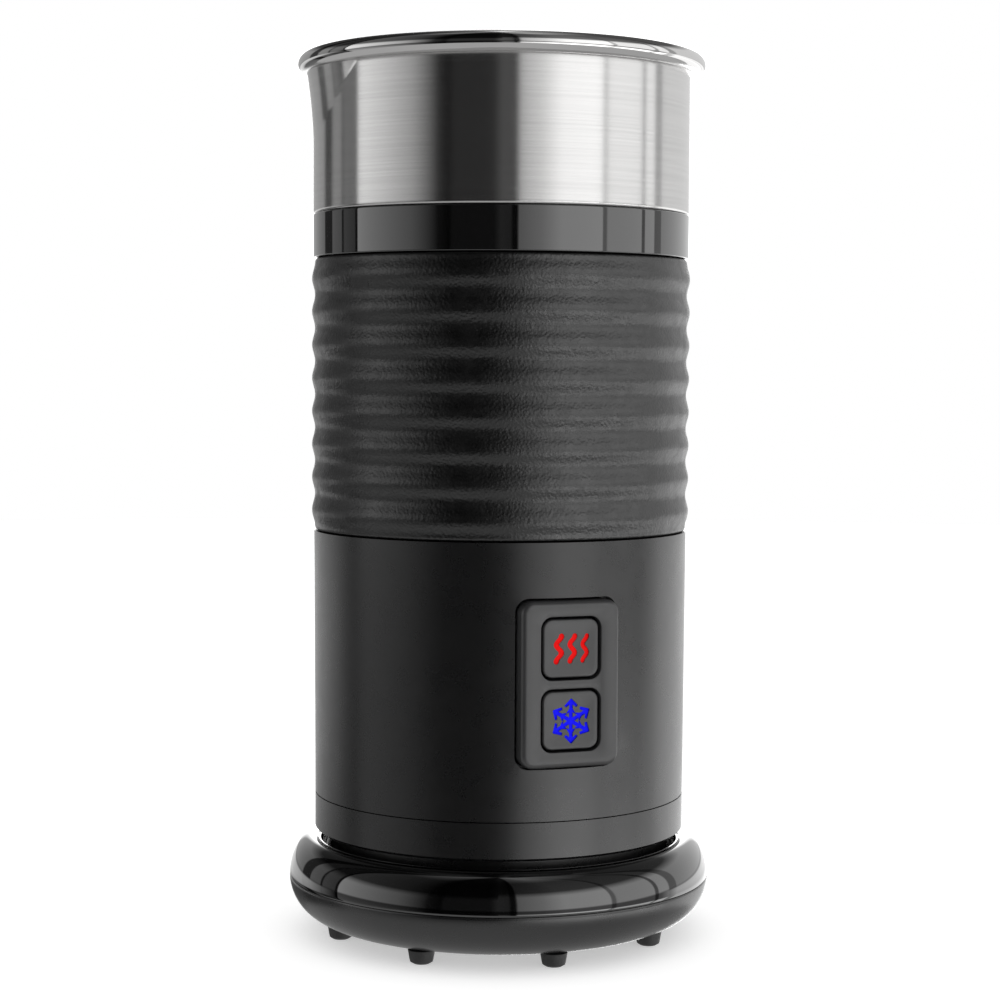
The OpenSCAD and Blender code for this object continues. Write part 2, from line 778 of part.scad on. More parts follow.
module motor_bushings() {
  color("#b08d57") {
    ring(bush_r, shaft_r + run_gap, motor_z + 0.2, bush_h);
    ring(bush_r, shaft_r + run_gap, bracket_z + bracket_t - bush_h, bush_h);
  }
}

module stator_magnets() {
  magnet_z = motor_body_z + 2;
  magnet_h = bracket_z - can_wall - 1.5 - magnet_z;
  magnet_out_r = motor_r - can_wall;
  color("#4b4e50") difference() {
    ring(magnet_out_r, magnet_out_r - stator_t, magnet_z, magnet_h);
    translate([-motor_r, -stator_gap / 2, magnet_z - cut])
      cube([2 * motor_r, stator_gap, magnet_h + 2 * cut]);
  }
}

core_gap = 0.7;
core_end = 3.5;
shaft_z = motor_z - 2;
carrier_gap = 1.4;
carrier_h = 7.4;
carrier_hub_r = 4;
carrier_hub_h = 2;
carrier_bore_l = 6;
carrier_rim = 1.6;
carrier_z = pot_z - carrier_gap - carrier_h;
drive_magnet_r = 3.4;
drive_magnet_h = 4;
drive_magnet_place_r = carrier_r - drive_magnet_r - carrier_rim;
magnet_angles = [45, 135, 225, 315];

module motor_shaft() {
  color("#cfd2d4") translate([0, 0, shaft_z]) cylinder(r = shaft_r, h = carrier_z + carrier_bore_l - shaft_z);
}

module motor_armature() {
  core_r = motor_r - can_wall - stator_t - core_gap;
  core_z = motor_body_z + core_end;
  core_h = bracket_z - can_wall - core_end - core_z;
  slot = [4, 1.2];
  commutator = 1.6;
  color("#b4532a") {
    difference() {
      ring(core_r, shaft_r, core_z, core_h);
      at_angles(core_r, [0, 72, 144, 216, 288])
        translate([-slot.x / 2, -slot.y / 2, core_z - cut])
          cube([slot.x, slot.y, core_h + 2 * cut]);
    }
    ring(shaft_r + commutator, shaft_r, core_z - commutator, commutator + eps);
  }
}

module magnet_carrier() {
  color("#e4e0d2") difference() {
    union() {
      translate([0, 0, carrier_z + carrier_hub_h])
        cylinder(r = carrier_r, h = carrier_h - carrier_hub_h);
      translate([0, 0, carrier_z]) cylinder(r = carrier_hub_r, h = carrier_hub_h + eps);
    }
    translate([0, 0, carrier_z - cut]) cylinder(r = shaft_r, h = carrier_bore_l + cut);
    at_angles(drive_magnet_place_r, magnet_angles)
      translate([0, 0, carrier_z + carrier_h - drive_magnet_h])
        cylinder(r = drive_magnet_r, h = drive_magnet_h + cut);
  }
}

module drive_magnets() {
  color("#8d9094") at_angles(drive_magnet_place_r, magnet_angles)
    translate([0, 0, carrier_z + carrier_h - drive_magnet_h])
      cylinder(r = drive_magnet_r, h = drive_magnet_h);
}

// ---- whisk ----

whisk_lift = 1.2;
whisk_z = pot_floor_z + whisk_lift;
hub_h = 9;
hub_tube_r = 3.6;
hub_top_h = 11.6;
whisk_magnet_r = 2.4;
whisk_magnet_h = 2.6;
whisk_magnet_rim = 1;
whisk_magnet_place_r = hub_r - whisk_magnet_r - whisk_magnet_rim;
coil_gap = 0.35;
// Height of the coil's middle over the hub's underside
coil_lift = 6;
coil_place_r = hub_r + coil_gap + coil_r;
// The two crossing ribs on the hub
hub_rib = [2 * hub_r - 3, 1.6, 2.4];
hub_bore_h = 10.2;
hub_entry_h = 0.8;
hub_entry_gap = 0.4;

module whisk_hub() {
  color("#1d1d1f") translate([0, 0, whisk_z]) difference() {
    union() {
      cylinder(r = hub_r, h = hub_h);
      cylinder(r = hub_tube_r, h = hub_top_h);
      for (a = [0, 90]) rotate([0, 0, a])
        translate([-hub_rib.x / 2, -hub_rib.y / 2, hub_h - eps]) cube(hub_rib);
    }
    translate([0, 0, -cut]) cylinder(r = pin_r + run_gap, h = hub_bore_h + cut);
    translate([0, 0, -cut]) cylinder(r = pin_r + hub_entry_gap, h = hub_entry_h + cut);
    at_angles(whisk_magnet_place_r, magnet_angles)
      translate([0, 0, -cut]) cylinder(r = whisk_magnet_r, h = whisk_magnet_h + cut);
  }
}

module whisk_magnets() {
  color("#9b9ea2") at_angles(whisk_magnet_place_r, magnet_angles)
    translate([0, 0, whisk_z]) cylinder(r = whisk_magnet_r, h = whisk_magnet_h);
}

module whisk_coil() {
  color("#c4c6c8") translate([0, 0, whisk_z + coil_lift]) rotate_extrude()
    translate([coil_place_r, 0]) circle(coil_r);
}

// ---- lid ----

seal_r = pot_in_r - lid_gap;
skirt_in = 0.6;
skirt_r = seal_r - skirt_in;
lid_drop = 1;
lid_edge_z = bead_z - lid_drop;
lid_lip_h = 1;
skirt_h = 7.6;
seal_h = 2.4;
seal_sink = 0.5;
seal_z = lid_edge_z - 5;
dome_top_z = lid_edge_z + lid_rise;
// Radius of the ball that the dome is part of
dome_ball_r = (skirt_r ^ 2 + lid_rise ^ 2) / (2 * lid_rise);
knob_sink = 0.15;
knob_z = dome_top_z - knob_sink;
knob_foot_r = knob_r - 1.2;
knob_neck_h = 0.8;
knob_edge = 0.6;

module lid_cover() {
  color("#dfe7ea", 0.4) difference() {
    union() {
      intersection() {
        translate([0, 0, dome_top_z - dome_ball_r]) sphere(r = dome_ball_r, $fn = 240);
        translate([0, 0, lid_edge_z - lid_t]) cylinder(r = skirt_r, h = lid_rise + lid_t);
      }
      translate([0, 0, lid_edge_z - skirt_h]) cylinder(r = skirt_r, h = skirt_h);
      translate([0, 0, lid_edge_z - lid_lip_h]) cylinder(r = seal_r, h = lid_lip_h);
    }
    translate([0, 0, lid_edge_z - skirt_h - cut])
      cylinder(r = skirt_r - lid_t, h = skirt_h - lid_t + cut);
    intersection() {
      translate([0, 0, dome_top_z - dome_ball_r])
        sphere(r = dome_ball_r - lid_t, $fn = 240);
      translate([0, 0, lid_edge_z - lid_t - cut])
        cylinder(r = skirt_r - lid_t, h = lid_rise + lid_t + cut);
    }
    ring(seal_r + cut, skirt_r - seal_sink, seal_z, seal_h);
    cylinder(r = hole_r, h = rim_z + 2 * lid_rise);
    translate([0, 0, knob_z]) cylinder(r = knob_foot_r, h = lid_rise);
  }
}

module lid_seal() {
  color("#e8e8e8") ring(seal_r, skirt_r - seal_sink, seal_z, seal_h);
}

module lid_knob() {
  stud_gap = 0.05;
  stud_head_h = 2.3;
  stud_z = dome_top_z - lid_t - stud_head_h - 0.2;
  color("#1a1a1b") {
    translate([0, 0, knob_z]) cylinder(r = knob_foot_r, h = knob_h - knob_edge);
    translate([0, 0, knob_z + knob_neck_h])
      cylinder(r = knob_r, h = knob_h - knob_edge - knob_neck_h);
    translate([0, 0, knob_z + knob_h - knob_edge - eps])
      cylinder(r1 = knob_r, r2 = knob_r - knob_edge, h = knob_edge);
    translate([0, 0, stud_z]) cylinder(r = hole_r - stud_gap, h = knob_z - stud_z + eps);
    translate([0, 0, stud_z]) cylinder(r = hole_r + 2, h = stud_head_h);
  }
}

// ---- control panel ----

bezel_w = key_w + 2 * bezel_side;
bezel_h = 2 * (key_h + bezel_end) + bezel_bar;
key_pitch = key_h + bezel_bar;
bezel_face = body_r(panel_z) + bezel_proud;
bezel_edge = 0.8;
bezel_flange_t = 1.6;
bezel_flange_over = 2;
bezel_flange_gap = 0.5;
// The flange lies inside the housing's round inside, along its two upright edges
flange_back = sqrt(housing_in_r ^ 2 - (bezel_w / 2 + bezel_flange_over) ^ 2)
  - bezel_flange_t - bezel_flange_gap;
lip_t = 1.1;
lip_over = 1;
lip_gap = 0.4;
lip_back = flange_back - lip_gap - lip_t;
stem_l = 1.8;
stem_end = lip_back - stem_l;
stem_r = 2;
switch_gap = 0.3;
switch_top = stem_end - key_travel - switch_gap;
switch_body_t = 3.3;
switch_body_w = 6;
plunger_l = 0.7;
plunger_r = 1.6;
board_face = switch_top - plunger_l - switch_body_t;
control_board_t = 1.6;
control_board_w = bezel_w + 1;
control_board_h = bezel_h + 2;
bezel_post_x = bezel_w / 2 - 1;
bezel_post_y = bezel_h / 2 - 1.2;
bezel_post_r = 2;
bezel_pilot_r = 0.9;
bezel_pilot_l = 6;
led_x = 5;
led_r = 1.45;
led_h = 2.2;
led_tip = 0.8;
symbol_t = 0.3;
dish = 0.25;
key_sink = 0.2;
key_face = bezel_face - key_sink;
key_dish_r = (key_w ^ 2 / 4 + dish ^ 2) / (2 * dish);

// Puts children on the panel at a distance from the axis: X right, Y up, Z outwards
module on_panel(distance) {
  rotate([0, 0, panel_az]) translate([0, -distance, panel_z]) rotate([90, 0, 0]) children();
}

module key_places() {
  for (side = [1, -1]) translate([0, side * key_pitch / 2, 0]) children();
}

module corner_places(x, y) {
  for (i = [-1, 1], j = [-1, 1]) translate([i * x, j * y, 0]) children();
}

module control_bezel() {
  color("#2a2a2c") difference() {
    union() {
      on_panel(flange_back) {
        slab(bezel_w, bezel_h, bezel_face - bezel_edge - flange_back, bezel_round);
        slab(bezel_w - 2 * bezel_edge, bezel_h - 2 * bezel_edge, bezel_face - flange_back,
          bezel_round - bezel_edge);
        slab(bezel_w + 2 * bezel_flange_over, bezel_h + 2 * bezel_flange_over, bezel_flange_t,
          bezel_round);
      }
      on_panel(board_face) corner_places(bezel_post_x, bezel_post_y)
        cylinder(r = bezel_post_r, h = flange_back - board_face + eps);
    }
    on_panel(flange_back - cut) key_places()
      slab(key_w + 2 * key_gap, key_h + 2 * key_gap, bezel_face, key_round + key_gap);
    on_panel(board_face - cut) corner_places(bezel_post_x, bezel_post_y)
      cylinder(r = bezel_pilot_r, h = bezel_pilot_l + cut);
  }
}

module key_body() {
  difference() {
    union() {
      translate([0, 0, lip_back]) slab(key_w, key_h, key_face - lip_back, key_round);
      translate([0, 0, lip_back]) slab(key_w + 2 * lip_over, key_h + 2 * lip_over, lip_t, key_round);
      translate([0, 0, stem_end]) cylinder(r = stem_r, h = lip_back - stem_end + eps);
    }
    translate([0, 0, key_face - dish + key_dish_r]) sphere(r = key_dish_r, $fn = 240);
  }
}

// One wavy stroke, drawn as two facing arcs
module heat_stroke() {
  wave_r = 2.05;
  wave_w = 1.25;
  wave_x = 0.6;
  wave_y = 1.886;
  module half_wave() {
    difference() {
      circle(wave_r + wave_w / 2);
      circle(wave_r - wave_w / 2);
      translate([-wave_x, -2 * wave_r]) square(4 * wave_r);
    }
  }
  translate([wave_x, wave_y]) half_wave();
  translate([-wave_x, -wave_y]) rotate(180) half_wave();
}

module heat_outline() {
  stroke_pitch = 3.1;
  for (i = [-1:1]) translate([i * stroke_pitch, 0]) heat_stroke();
}

module cold_outline() {
  flake_l = 4.7;
  flake_w = 0.9;
  tip_in = 0.3;
  barb_l = 2;
  barb_step = 2.1;
  for (a = [0:60:300]) rotate(a + 30) {
    translate([0, -flake_w / 2]) square([flake_l - tip_in, flake_w]);
    for (place = [flake_l, flake_l - barb_step], side = [-1, 1])
      translate([place, 0]) rotate(180 - side * 45)
        translate([0, -flake_w / 2]) square([barb_l * place / flake_l, flake_w]);
  }
}

// Symbols lie in the dish, sunk into the key's face
module symbol_solid(extra) {
  translate([0, 0, key_face - dish - symbol_t]) linear_extrude(symbol_t + extra) children();
}

module heat_button() {
  color("#242426") on_panel(0) translate([0, key_pitch / 2, 0]) difference() {
    key_body();
    symbol_solid(cut) heat_outline();
  }
}

module heat_symbol() {
  color("red") on_panel(0) translate([0, key_pitch / 2, 0]) symbol_solid(0) heat_outline();
}

module cold_button() {
  color("#242426") on_panel(0) translate([0, -key_pitch / 2, 0]) difference() {
    key_body();
    symbol_solid(cut) cold_outline();
  }
}

module cold_symbol() {
  color("blue") on_panel(0) translate([0, -key_pitch / 2, 0]) symbol_solid(0) cold_outline();
}

module control_board() {
  color("#1f5c34") difference() {
    on_panel(board_face - control_board_t) slab(control_board_w, control_board_h, control_board_t, 1);
    on_panel(board_face - control_board_t - cut) corner_places(bezel_post_x, bezel_post_y)
      cylinder(r = bezel_pilot_r, h = control_board_t + 2 * cut);
  }
}

module control_screws() {
  color("silver") on_panel(board_face - control_board_t)
    corner_places(bezel_post_x, bezel_post_y) screw(1.6, 1.1, 0.85, 6);
}

module tact_switches() {
  color("#2b2b2b") on_panel(board_face) key_places() {
    translate([-switch_body_w / 2, -switch_body_w / 2, 0])
      cube([switch_body_w, switch_body_w, switch_body_t]);
    cylinder(r = plunger_r, h = switch_top - board_face);
  }
}

module status_leds() {
  color("#d8d8d8") on_panel(board_face) key_places() translate([led_x, 0, 0]) {
    cylinder(r = led_r, h = led_h);
    translate([0, 0, led_h]) cylinder(r1 = led_r, r2 = led_tip, h = led_tip);
  }
}

// ---- power board and wiring ----

board_top_z = board_z + board_t;
wire_r = 0.8;
motor_wire_place_r = 7;

module power_board() {
  color("#1f5c34") difference() {
    translate([0, 0, board_z]) cylinder(r = board_r, h = board_t);
    at_angles(board_place_r, board_post_angles)
      translate([0, 0, board_z - cut]) cylinder(r = pilot_r, h = board_t + 2 * cut);
  }
}

module power_parts() {
  relay = [13, 9, 10];
  film_capacitor = [10, 5, 8];
  rectifier = [8, 8, 3];
  large_can_r = 3.6;
  large_can_h = 9;
  small_can_r = 3;
  small_can_h = 8;
  rotate([0, 0, panel_dir + 180]) translate([0, 0, board_top_z]) {
    color("#2756a8") translate([5, -19, 0]) cube(relay);
    color("#c9a227") translate([6, 8, 0]) cube(film_capacitor);
    color("#1c1c1c") translate([16, 2, 0]) cylinder(r = large_can_r, h = large_can_h);
    color("#1c1c1c") translate([-14, 13, 0]) cylinder(r = small_can_r, h = small_can_h);
    color("#303030") translate([-18, -16, 0]) cube(rectifier);
  }
}

module board_screws() {
  color("silver") at_angles(board_place_r, board_post_angles)
    translate([0, 0, board_top_z]) mirror([0, 0, 1])
      screw(small_head_r, small_head_h, screw_shank_r, board_screw_l);
}

module wiring() {
  element_tail_z = element_z - element_tail_l;
  ribbon_w = 10;
  ribbon_t = 0.8;
  element_leads = [element_gap_a - element_tail_a, element_gap_a + element_tail_a];
  color("#b3322a") at_angles(element_place_r, element_leads)
    translate([0, 0, board_top_z]) cylinder(r = wire_r, h = element_tail_z - board_top_z);
  color("#2b2b2b") at_angles(motor_wire_place_r, [element_gap_a, element_gap_a + 180])
    translate([0, 0, board_top_z]) cylinder(r = wire_r, h = motor_z - board_top_z);
  color("#8e8e8e") on_panel(board_face - control_board_t / 2)
    translate([-ribbon_w / 2, board_top_z - panel_z, -ribbon_t / 2])
      cube([ribbon_w, panel_z - control_board_h / 2 - board_top_z, ribbon_t]);
  color("#d8c23a") at_angles(contact_ring_r, [0, 180])
    translate([0, 0, board_z - lead_l]) cylinder(r = wire_r, h = lead_l);
}

base_housing();
base_cover();
base_feet();
base_connector();
base_contacts();
base_screws();
cord_grommet();
bottom_cap();
jug_connector();
jug_contacts();
cap_screws();
main_housing();
grip_sleeve();
trim_band();
band_gasket();
steel_pot();
drive_pin();
heater_plate();
heating_ring();
thermostat();
motor_standoffs();
motor_bracket();
bracket_screws();
motor_screws();
motor_can();
motor_endcap();
motor_bushings();
stator_magnets();
power_board();
power_parts();
board_screws();
control_bezel();
control_board();
control_screws();
tact_switches();
status_leds();
wiring();
motor_shaft();
motor_armature();
magnet_carrier();
drive_magnets();
whisk_hub();
whisk_magnets();
whisk_coil();
lid_cover();
lid_seal();
lid_knob();
heat_button();
heat_symbol();
cold_button();
cold_symbol();
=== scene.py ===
import json
import math

import bmesh
import bpy
from mathutils import Matrix, Vector


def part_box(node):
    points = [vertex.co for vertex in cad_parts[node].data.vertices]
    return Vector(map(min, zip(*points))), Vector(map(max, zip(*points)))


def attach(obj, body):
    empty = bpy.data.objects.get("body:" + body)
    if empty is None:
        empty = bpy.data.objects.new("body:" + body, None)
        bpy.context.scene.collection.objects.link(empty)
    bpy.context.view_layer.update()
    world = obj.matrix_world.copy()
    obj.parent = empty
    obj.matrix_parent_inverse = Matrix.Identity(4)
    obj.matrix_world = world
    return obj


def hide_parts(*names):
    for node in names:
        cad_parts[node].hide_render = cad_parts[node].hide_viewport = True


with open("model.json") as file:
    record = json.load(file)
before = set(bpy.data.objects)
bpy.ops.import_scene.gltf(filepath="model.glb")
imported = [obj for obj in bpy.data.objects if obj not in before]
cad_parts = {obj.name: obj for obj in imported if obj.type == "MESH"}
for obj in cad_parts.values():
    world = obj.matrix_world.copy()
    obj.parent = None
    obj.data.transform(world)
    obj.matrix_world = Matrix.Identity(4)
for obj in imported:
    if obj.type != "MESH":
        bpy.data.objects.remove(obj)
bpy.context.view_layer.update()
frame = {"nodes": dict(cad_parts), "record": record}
nodes = frame["nodes"]
mm = 0.001
turn = 2 * math.pi
print("frame loaded:", len(nodes), "CAD nodes")


# Heights and radii that the frame's own nodes give
jugRadius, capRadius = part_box("trim_band")[1].x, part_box("bottom_cap")[1].x
bandBottom, steelBottom = [corner.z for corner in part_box("trim_band")]
potBottom, rimTop = [corner.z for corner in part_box("steel_pot")]
sleeveBottom, sleeveTop = [corner.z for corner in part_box("grip_sleeve")]
housingBottom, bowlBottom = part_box("main_housing")[0].z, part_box("base_housing")[0].z
baseRadius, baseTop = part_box("base_cover")[1].x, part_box("base_cover")[1].z


def solidBoxes(nodeName):
    # Lowest and highest corner of each separate solid in a node
    shape = bmesh.new()
    shape.from_mesh(nodes[nodeName].data)
    bmesh.ops.remove_doubles(shape, verts=shape.verts, dist=0.002 * mm)
    boxes, seen = [], set()
    for first in shape.verts:
        if first in seen:
            continue
        seen.add(first)
        group, queue = [], [first]
        while queue:
            vert = queue.pop()
            group.append(vert.co.copy())
            for edge in vert.link_edges:
                other = edge.other_vert(vert)
                if other not in seen:
                    seen.add(other)
                    queue.append(other)
        low = Vector([min(p[i] for p in group) for i in range(3)])
        high = Vector([max(p[i] for p in group) for i in range(3)])
        boxes.append((low, high))
    shape.free()
    return boxes


class Finish:
    # A Principled material with a few shorthand ways to lay patterns on it
    def __init__(self, name, colour, rough=0.5, **constants):
        self.material = bpy.data.materials.new(name)
        self.material.use_nodes = True
        self.tree = self.material.node_tree
        self.shader = self.tree.nodes["Principled BSDF"]
        self.rough = rough
        self.set("Base Color", (*colour, 1))
        self.set("Roughness", rough)
        for key, value in constants.items():
            self.set(key.replace("_", " "), value)
        self.coords = self.add("ShaderNodeTexCoord").outputs["Object"]
        self.bump = None

    def set(self, socket, value):
        self.shader.inputs[socket].default_value = value

    def add(self, kind, **values):
        node = self.tree.nodes.new(kind)
        for key, value in values.items():
            setattr(node, key, value)
        return node

    def join(self, source, target):
        self.tree.links.new(source, target)

    def stretched(self, scale):
        # Object coordinates, stretched for a pattern with a direction
        place = self.add("ShaderNodeMapping")
        place.inputs["Scale"].default_value = scale
        self.join(self.coords, place.inputs["Vector"])
        return place.outputs["Vector"]

    def noise(self, size, detail=3.0, coords=None, roughness=0.55):
        # Noise whose blotches are about size metres wide
        node = self.add("ShaderNodeTexNoise")
        node.inputs["Scale"].default_value = 1 / size
        node.inputs["Detail"].default_value = detail
        node.inputs["Roughness"].default_value = roughness
        self.join(coords or self.coords, node.inputs["Vector"])
        return node.outputs["Fac"]

    def cells(self, size, feature):
        node = self.add("ShaderNodeTexVoronoi", feature=feature)
        node.inputs["Scale"].default_value = 1 / size
        self.join(self.coords, node.inputs["Vector"])
        return node.outputs["Distance"]

    def ramp(self, source, low, high, start=0.3, end=0.7):
        # Turns a 0 to 1 pattern into a span of values
        node = self.add("ShaderNodeMapRange")
        for key, value in (("From Min", start), ("From Max", end), ("To Min", low), ("To Max", high)):
            node.inputs[key].default_value = value
        self.join(source, node.inputs["Value"])
        return node.outputs["Result"]

    def roughFrom(self, source, spread):
        low, high = max(0.02, self.rough - spread), min(1, self.rough + spread)
        self.join(self.ramp(source, low, high), self.shader.inputs["Roughness"])

    def colourFrom(self, source, first, second, start=0.3, end=0.7):
        blend = self.add("ShaderNodeMix", data_type="RGBA")
        blend.inputs["A"].default_value = (*first, 1)
        blend.inputs["B"].default_value = (*second, 1)
        self.join(self.ramp(source, 0, 1, start, end), blend.inputs["Factor"])
        self.join(blend.outputs["Result"], self.shader.inputs["Base Color"])

    def bumpFrom(self, source, depth):
        # Adds relief; a second call lays its relief over the first
        node = self.add("ShaderNodeBump")
        node.inputs["Distance"].default_value = depth
        self.join(source, node.inputs["Height"])
        if self.bump:
            self.join(self.bump, node.inputs["Normal"])
        self.bump = node.outputs["Normal"]
        self.join(self.bump, self.shader.inputs["Normal"])


def shade(colour, factor):
    return tuple(min(1, c * factor) for c in colour)


def moulded(name, colour, rough, grain, depth, shift=0.12, shine=0.5):
    # Moulded plastic: fine eroded texture, faint flow marks and handling marks
    made = Finish(name, colour, rough, Specular_IOR_Level=shine)
    handled = made.noise(14 * mm, 4)
    made.colourFrom(handled, shade(colour, 1 - shift), shade(colour, 1 + shift))
    made.roughFrom(made.noise(5 * mm, 5), 0.018)
    made.bumpFrom(made.noise(grain, 4, roughness=0.7), depth)
    return made.material


def polished(name, colour, rough):
    # Polished plastic: almost a mirror, with a slight moulding waviness and fine hairlines
    made = Finish(name, colour, rough, Specular_IOR_Level=1.0, Coat_Weight=1.0, Coat_Roughness=0.03)
    made.colourFrom(made.noise(20 * mm), shade(colour, 0.8), shade(colour, 1.3))
    made.roughFrom(made.noise(2.2 * mm, 6), rough * 0.6)
    made.bumpFrom(made.noise(9 * mm, 1), 0.004 * mm)
    return made.material


def rubber(name, colour, rough, cell, depth):
    # Grained rubber: rounded pebbles with creases between them, of two sizes; its colour is painted shade,
    # darker in the creases and lighter on the pebble tops
    made = Finish(name, colour, rough, Specular_IOR_Level=1.0)
    pebbles = made.cells(cell, feature="SMOOTH_F1")
    # Painted shade: the creases between the pebbles are darkened and the pebble tops lightened
    made.colourFrom(pebbles, shade(colour, 1.18), shade(colour, 0.7), 0.1, 0.7)
    made.roughFrom(made.noise(3 * mm, 4), 0.06)
    made.bumpFrom(made.noise(cell * 0.5, 3), depth * 0.5)
    made.bumpFrom(pebbles, -depth)
    return made.material


def brushed(name, colour, rough):
    # Steel brushed round the jug: fine lines that run level, so that highlights spread upright
    made = Finish(name, colour, rough, Metallic=1.0, Anisotropic=0.75, Anisotropic_Rotation=0.25)
    lines = made.noise(1.0, 5, made.stretched((12, 12, 6500)), 0.7)
    streaks = made.noise(1.0, 3, made.stretched((25, 25, 1600)))
    made.colourFrom(streaks, shade(colour, 0.95), shade(colour, 1.03))
    made.roughFrom(lines, 0.04)
    made.bumpFrom(lines, 0.0004 * mm)
    around = made.add("ShaderNodeTangent", direction_type="RADIAL", axis="Z")
    made.join(around.outputs["Tangent"], made.shader.inputs["Tangent"])
    return made.material


def metal(name, colour, rough, grain=0.8 * mm, depth=0.004 * mm, patch=6 * mm, shift=0.12):
    # Plain metal: uneven tone, fine grain and worn spots
    made = Finish(name, colour, rough, Metallic=1.0)
    made.colourFrom(made.noise(patch, 4), shade(colour, 1 - shift), shade(colour, 1 + shift))
    made.roughFrom(made.noise(grain * 2, 4), min(0.12, rough * 0.5))
    made.bumpFrom(made.noise(grain, 3), depth)
    return made.material


def board(name, colour):
    # Circuit board: solder mask over a pattern of tracks, with a faint weave
    made = Finish(name, colour, 0.38, Specular_IOR_Level=0.6)
    tracks = made.cells(3.2 * mm, feature="DISTANCE_TO_EDGE")
    made.colourFrom(tracks, shade(colour, 2.1), colour, 0.05, 0.09)
    made.bumpFrom(made.ramp(tracks, 1, 0, 0.05, 0.09), 0.035 * mm)
    made.bumpFrom(made.noise(0.25 * mm, 2), 0.004 * mm)
    return made.material


def winding(name, colour):
    # Enamelled copper wire laid round a core: level lines with the sheen of lacquer; the lines' colour is
    # partly the turns' pattern and partly painted shade in the grooves and painted highlight on the crests
    made = Finish(name, colour, 0.3, Metallic=0.85, Coat_Weight=0.6, Coat_Roughness=0.15)
    lines = made.add("ShaderNodeTexWave", wave_type="BANDS", bands_direction="Z")
    lines.inputs["Scale"].default_value = 900
    lines.inputs["Distortion"].default_value = 1.5
    made.join(made.coords, lines.inputs["Vector"])
    # Painted shade and highlight: each turn is darker in its groove and lighter on its crest
    made.colourFrom(lines.outputs["Fac"], shade(colour, 0.5), shade(colour, 1.25), 0.1, 0.9)
    made.bumpFrom(lines.outputs["Fac"], 0.06 * mm)
    return made.material


def speckled(name, colour, rough, grain, depth, contrast=0.35, **constants):
    # Sintered, cast or ceramic body: dark and light grains
    made = Finish(name, colour, rough, **constants)
    grains = made.noise(grain, 6, roughness=0.75)
    made.colourFrom(grains, shade(colour, 1 - contrast), shade(colour, 1 + contrast), 0.35, 0.65)
    made.roughFrom(made.noise(grain * 5, 3), 0.06)
    made.bumpFrom(grains, depth)
    return made.material


def clear(name, colour, rough):
    # Clear plastic with slight moulding waves
    made = Finish(name, colour, rough, Transmission_Weight=1.0, IOR=1.49)
    made.roughFrom(made.noise(1.5 * mm, 4), 0.02)
    made.bumpFrom(made.noise(7 * mm, 1), 0.01 * mm)
    return made.material


def lightGuide(name, colour, glow):
    # Coloured key symbol: translucent resin, lit a little from behind
    made = Finish(name, colour, 0.55, Specular_IOR_Level=0.12, Emission_Color=(*colour, 1),
                  Emission_Strength=glow)
    made.colourFrom(made.noise(0.9 * mm, 3), shade(colour, 0.85), colour)
    made.roughFrom(made.noise(0.4 * mm, 3), 0.08)
    made.bumpFrom(made.noise(0.3 * mm, 3), 0.006 * mm)
    return made.material


